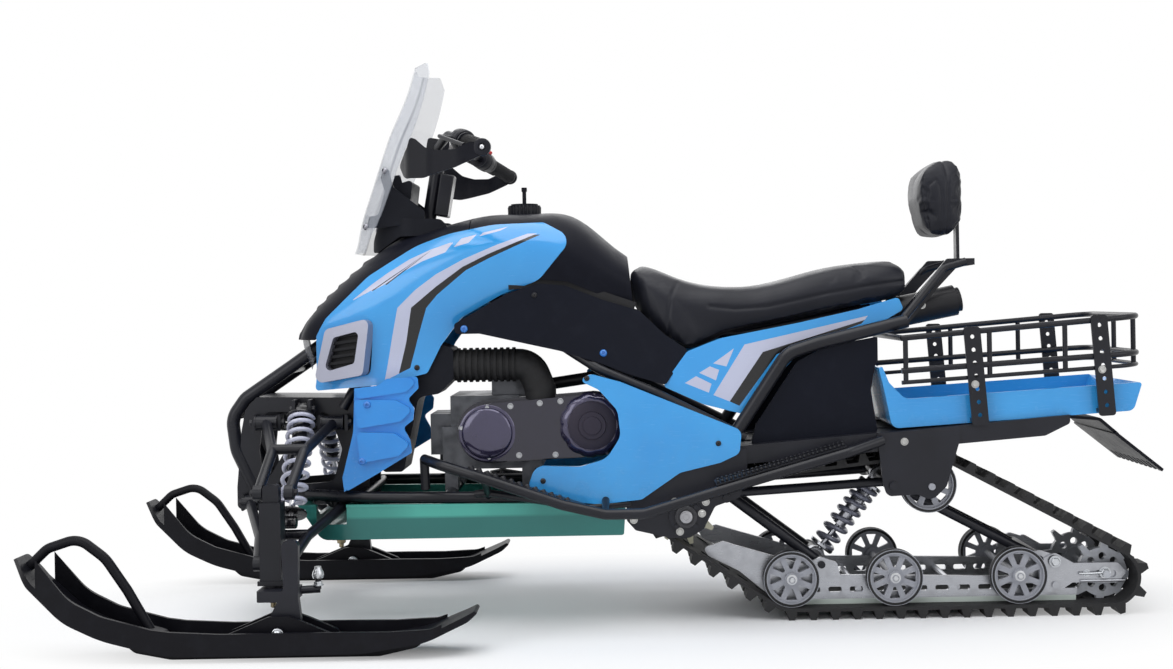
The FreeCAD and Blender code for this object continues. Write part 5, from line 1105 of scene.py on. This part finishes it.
class SNOWMOBILE_OT_suspension_bolts(bpy.types.Operator):
    """Stands the bolts, nuts and ball joints on the front suspension and the skis"""

    bl_idname = "snowmobile.suspension_bolts"
    bl_label = "Suspension bolts"

    def execute(self, context):
        black = powder("bolt_coat", (0.012, 0.012, 0.016, 1.0), 0.26)
        brass = brushed("gold_zinc", (0.30, 0.25, 0.16, 1.0), rough=0.34)
        silver = brushed("ski_zinc", (0.60, 0.62, 0.65, 1.0), rough=0.26)
        head = hex_head(0.0075, 0.008)
        fronts = ((881, 112, 490), (721, 112, 487), (911, 112, 296), (685, 112, 295), (780, 122, 522),
                  (809, 400, 355))
        rears = ((811, 112, 490), (647, 112, 487), (866, 112, 296), (615, 112, 295), (734, 122, 522),
                 (719, 400, 355))
        washers = turned(mm((0, 0), (0, 19), (3, 19), (4, 16.5), (4, 0)), 24)
        parts = row_of(head, fronts, (1, 0, 0)) + row_of(head, rears, (-1, 0, 0))
        rims = [(x + way * 26, 112, z) for x, z in ((846, 490), (684, 487)) for way in (1, -1)]
        parts += row_of(washers, rims, (1, 0, 0))
        piece("arm_bolts", parts, black)
        nut, low_head, bolt = hex_head(0.011, 0.012), hex_head(0.0085, 0.009), hex_head(0.0085, 0.0075)
        stub = turned(mm((0, 0), (0, 6.5), (22, 6.5), (24, 4), (24, 0)), 16)
        ball = mm((-4, 0), (-4, 11.5), (4, 13.5), (10, 12), (16, 8.5), (19, 7.5), (22, 7.5), (22, 0))
        rim = turned(mm((0, 0), (0, 13.5), (1.8, 13.5), (2.6, 12), (2.6, 0)), 36)
        for side, name in ((1.0, "left"), (-1.0, "right")):
            foot, knuckle = mm(769, side * 400, 120.5), f"knuckle_body_{name}"
            parts = [copies(nut, foot, (0, 0, -1)), copies(stub, foot, (0, 0, -1))]
            piece(f"kingpin_nut_{name}", parts, brass, knuckle)
            parts = [turned(ball, 28, mm(673, side * 376, 161), (0, 0, 1)),
                     copies(low_head, mm(673, side * 376, 140.5), (0, 0, 1))]
            piece(f"steering_ball_{name}", parts, silver, knuckle)
            ways = np.array([[0, 1.0, 0], [0, -1.0, 0]])
            places = mm(739, side * 450, 56) + ways * 0.0439  # just inside the ski's walls
            parts = [copies(rim, places, ways), copies(bolt, places + ways * 0.0025, ways)]
            piece(f"ski_bolt_{name}", parts, silver, f"ski_body_{name}")
        return {"FINISHED"}


class SNOWMOBILE_OT_grips(bpy.types.Operator):
    """Makes the ribbed grips, the bar ends, the switch pods and the red stop knob on one of them"""

    bl_idname = "snowmobile.grips"
    bl_label = "Grips and switches"

    def execute(self, context):
        soft = rubber("grip_rubber", (0.0085, 0.0085, 0.010, 1.0), 900.0)
        count = 22
        along = np.repeat(np.linspace(-0.117, -0.004, count * 2 + 1), 2)[1:-1]
        radius = np.where((np.arange(len(along)) // 2) % 2 == 0, 0.0174, 0.0186)
        profile = [(along[0], 0.0), *zip(along, radius), (along[-1], 0.0)]
        piece("grip_ribs", both(turned(profile, 30, BAR_END, BAR_WAY)), soft, STEERING)
        cap = mm((0, 0), (0, 19.5), (6, 20.5), (11, 19.5), (12.5, 15), (12.5, 9), (10, 8), (10, 0))
        end = BAR_END + mm(0, 3, 0)
        guard = moulded("bar_end_plastic", seen(22, 23, 31), 0.36, 1200.0)
        piece("bar_ends", both(turned(cap, 36, end, (0, 1, 0))), guard, STEERING)
        piece("bar_end_bolts", both(copies(button_head(0.0062, 0.005), end + mm(0, 9.5, 0), (0, 1, 0))),
              brushed("bar_zinc", (0.6, 0.61, 0.64, 1.0), rough=0.28), STEERING)
        pod = mm((-182, 0), (-182, 22.5), (-178, 25.5), (-158, 26.2), (-157, 24.8), (-155, 24.8), (-154, 26.2),
                 (-136, 25.5), (-132, 22.5), (-132, 0))
        piece("switch_pods", both(turned(pod, 40, BAR_END, BAR_WAY)),
              moulded("switch_plastic", seen(26, 27, 34), 0.4, 1300.0), STEERING)
        red = plastic("stop_red", seen(196, 34, 40), 0.34, 0.3)
        knob = turned(mm((0, 0), (0, 7.5), (6, 7.5), (8, 6), (8, 0)), 24)
        spot = BAR_END + BAR_WAY * -0.158 + mm(-16, 0, 19.5)
        piece("stop_knob", [mirrored(copies(knob, spot, (-0.6, 0.0, 0.8)))], red, STEERING)
        return {"FINISHED"}


class SNOWMOBILE_OT_trim(bpy.types.Operator):
    """Makes the hood's steps, the cap's ribs, the bearings, the rail adjusters, the seals and the screen bolts"""

    bl_idname = "snowmobile.trim"
    bl_label = "Hood steps, cap and rings"

    def execute(self, context):
        black = moulded("step_plastic", seen(22, 23, 29), 0.42, 700.0)
        crown = [(448, 959), (520, 940), (585, 899), (632, 862), (704, 796), (748, 752), (776, 712)]
        xs, zs = np.array(crown, float).T
        y = np.linspace(-1.0, 1.0, 21)
        parts = []
        for tip, half, high in ((618, 62, 9), (652, 60, 9), (682, 56, 10), (712, 50, 11), (738, 42, 11)):
            section = [(tip, high), (tip - 34, 0.5), (tip - 36, -5), (tip - 4, -5), (tip - 3, high - 5)]
            points = np.array([(x, np.interp(x, xs, zs) + up) for x, up in section])
            drop = 20.0 * np.abs(y) ** 2.2
            grid = np.stack(np.broadcast_arrays(points[None, :, 0], y[:, None] * half,
                                                points[None, :, 1] - drop[:, None]), -1)
            middle = grid.mean(axis=1, keepdims=True) + 0 * grid
            parts.append(lattice(np.concatenate([middle[:1], grid, middle[-1:]]) / 1000.0))
        piece("hood_steps", parts, black)

        def knurled(angle):
            """Ribs: 1 plus 0.022 times the cosine of 26 times the angle, tripled and cut off at 1 either way."""
            return 1.0 + 0.022 * np.clip(np.cos(angle * 26) * 3, -1, 1)

        cap = mm((0, 0), (0, 40.5), (21, 41.2), (26.2, 38.5), (26.6, 35), (26.6, 0))
        piece("cap_ribs", [turned(cap, 156, mm(215, 0, 990), (0, 0, 1), knurled)], black)
        spot = [(-170, 226, 258)]
        shell = turned(mm((0, 0), (0, 26.2), (2.8, 26.2), (3.8, 24.8), (3.8, 19.2), (1.6, 18.6), (1.6, 0)), 48)
        core = turned(mm((0, 0), (0, 15), (3.4, 14.6), (4.6, 12.5), (4.6, 7.5), (3, 7), (3, 0)), 48)
        piece("bearing_shells", row_of(shell, spot, (0, 1, 0)), powder("bearing_coat", (0.03, 0.03, 0.034, 1.0), 0.3))
        steel = brushed("bearing_steel", (0.36, 0.36, 0.38, 1.0), rough=0.4)
        piece("bearing_cores", row_of(core, spot, (0, 1, 0)), steel)
        zinc = brushed("adjuster_zinc", (0.55, 0.57, 0.6, 1.0), rough=0.28)
        nuts = row_of(hex_head(0.0095, 0.009), [(-1064, 150, 123), (-1186, 144, 94)], (0, 1, 0))
        nuts += row_of(hex_head(0.006, 0.006), [(-1142, 144, 93)], (0, 1, 0))
        shaft = swept(mm((-1122, 149, 93), (-1150, 149, 93), (-1178, 149, 94)), circle(0.0035, 12))
        piece("adjuster_nuts", nuts + both(shaft), zinc)
        line = mm((-56, 142, 754), (20, 151, 781), (110, 161, 815), (176, 168, 823), (246, 176, 819))
        piece("cover_seals", both(swept(line, brick(0.007, 0.030))),
              rubber("seal_rubber", (0.0085, 0.0085, 0.010, 1.0), 900.0))
        clear = brushed("screen_bolt", (0.25, 0.25, 0.28, 1.0), rough=0.3)
        head, spots = button_head(0.0085, 0.007), ((548, 1101), (599, 965))
        piece("screen_bolts", [bolts_on("windshield", spots, head, side) for side in (1.0, -1.0)], clear)
        return {"FINISHED"}


class SNOWMOBILE_OT_foot_teeth(bpy.types.Operator):
    """Stands the rows of grip teeth along the foot rests"""

    bl_idname = "snowmobile.foot_teeth"
    bl_label = "Foot rest teeth"

    def execute(self, context):
        coat = powder("teeth_coat", (0.0095, 0.010, 0.0135, 1.0), 0.36)
        block = turned(mm((-6, 0), (-6, 8.2), (5, 7.5), (7.5, 5.5), (7.5, 0)), 8)
        t = np.linspace(0, 1, 13)[:, None]
        front = mm(334, 262, 385) * (1 - t) + mm(110, 262, 306) * t
        parts = both(copies(block, front, (0.33, 0.0, 0.94)))
        edge = mm((-238, 268, 343), (-400, 252, 386), (-548, 238, 425))
        strip = swept(edge, brick(0.026, 0.003), (0.26, 0.35, 0.9))
        s = np.linspace(0.02, 0.98, 30)[:, None]
        line = mm(-238, 268, 346) * (1 - s) + mm(-548, 238, 428) * s
        pin = turned(mm((0, 0), (0, 4.2), (3.5, 3.6), (4.2, 2), (4.2, 0)), 8)
        rows = [copies(pin, line + mm(0, shift, shift * -0.3), (0.2, 0.3, 0.93)) for shift in (-7, 6)]
        parts += both(strip, *rows)
        piece("foot_teeth", parts, coat)
        return {"FINISHED"}


STEPS = (SNOWMOBILE_OT_stage, SNOWMOBILE_OT_panels, SNOWMOBILE_OT_plastics, SNOWMOBILE_OT_metals,
         SNOWMOBILE_OT_running_gear, SNOWMOBILE_OT_glass, SNOWMOBILE_OT_seat, SNOWMOBILE_OT_backrest,
         SNOWMOBILE_OT_front_springs, SNOWMOBILE_OT_track_spring, SNOWMOBILE_OT_bolts, SNOWMOBILE_OT_drive_trim,
         SNOWMOBILE_OT_suspension_bolts, SNOWMOBILE_OT_grips, SNOWMOBILE_OT_trim, SNOWMOBILE_OT_foot_teeth)


class SNOWMOBILE_PT_panel(bpy.types.Panel):
    """Lists the sizes, the colours and the steps"""

    bl_idname = "SNOWMOBILE_PT_panel"
    bl_label = "Snowmobile"
    bl_space_type = "VIEW_3D"
    bl_region_type = "UI"
    bl_category = "Snowmobile"

    def draw(self, context):
        for name in SNOWMOBILE_PG_looks.__annotations__:
            self.layout.prop(context.scene.snowmobile_looks, name)
        for step in STEPS:
            self.layout.operator(step.bl_idname)


CLASSES = (SNOWMOBILE_PG_looks, *STEPS, SNOWMOBILE_PT_panel)


def register():
    for kind in CLASSES:
        bpy.utils.register_class(kind)
    bpy.types.Scene.snowmobile_looks = bpy.props.PointerProperty(type=SNOWMOBILE_PG_looks)


def unregister():
    del bpy.types.Scene.snowmobile_looks
    for kind in reversed(CLASSES):
        bpy.utils.unregister_class(kind)


def main():
    """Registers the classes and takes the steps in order."""
    register()
    for step in STEPS:
        group, name = step.bl_idname.split(".")
        getattr(getattr(bpy.ops, group), name)()


if __name__ == "__main__":
    main()
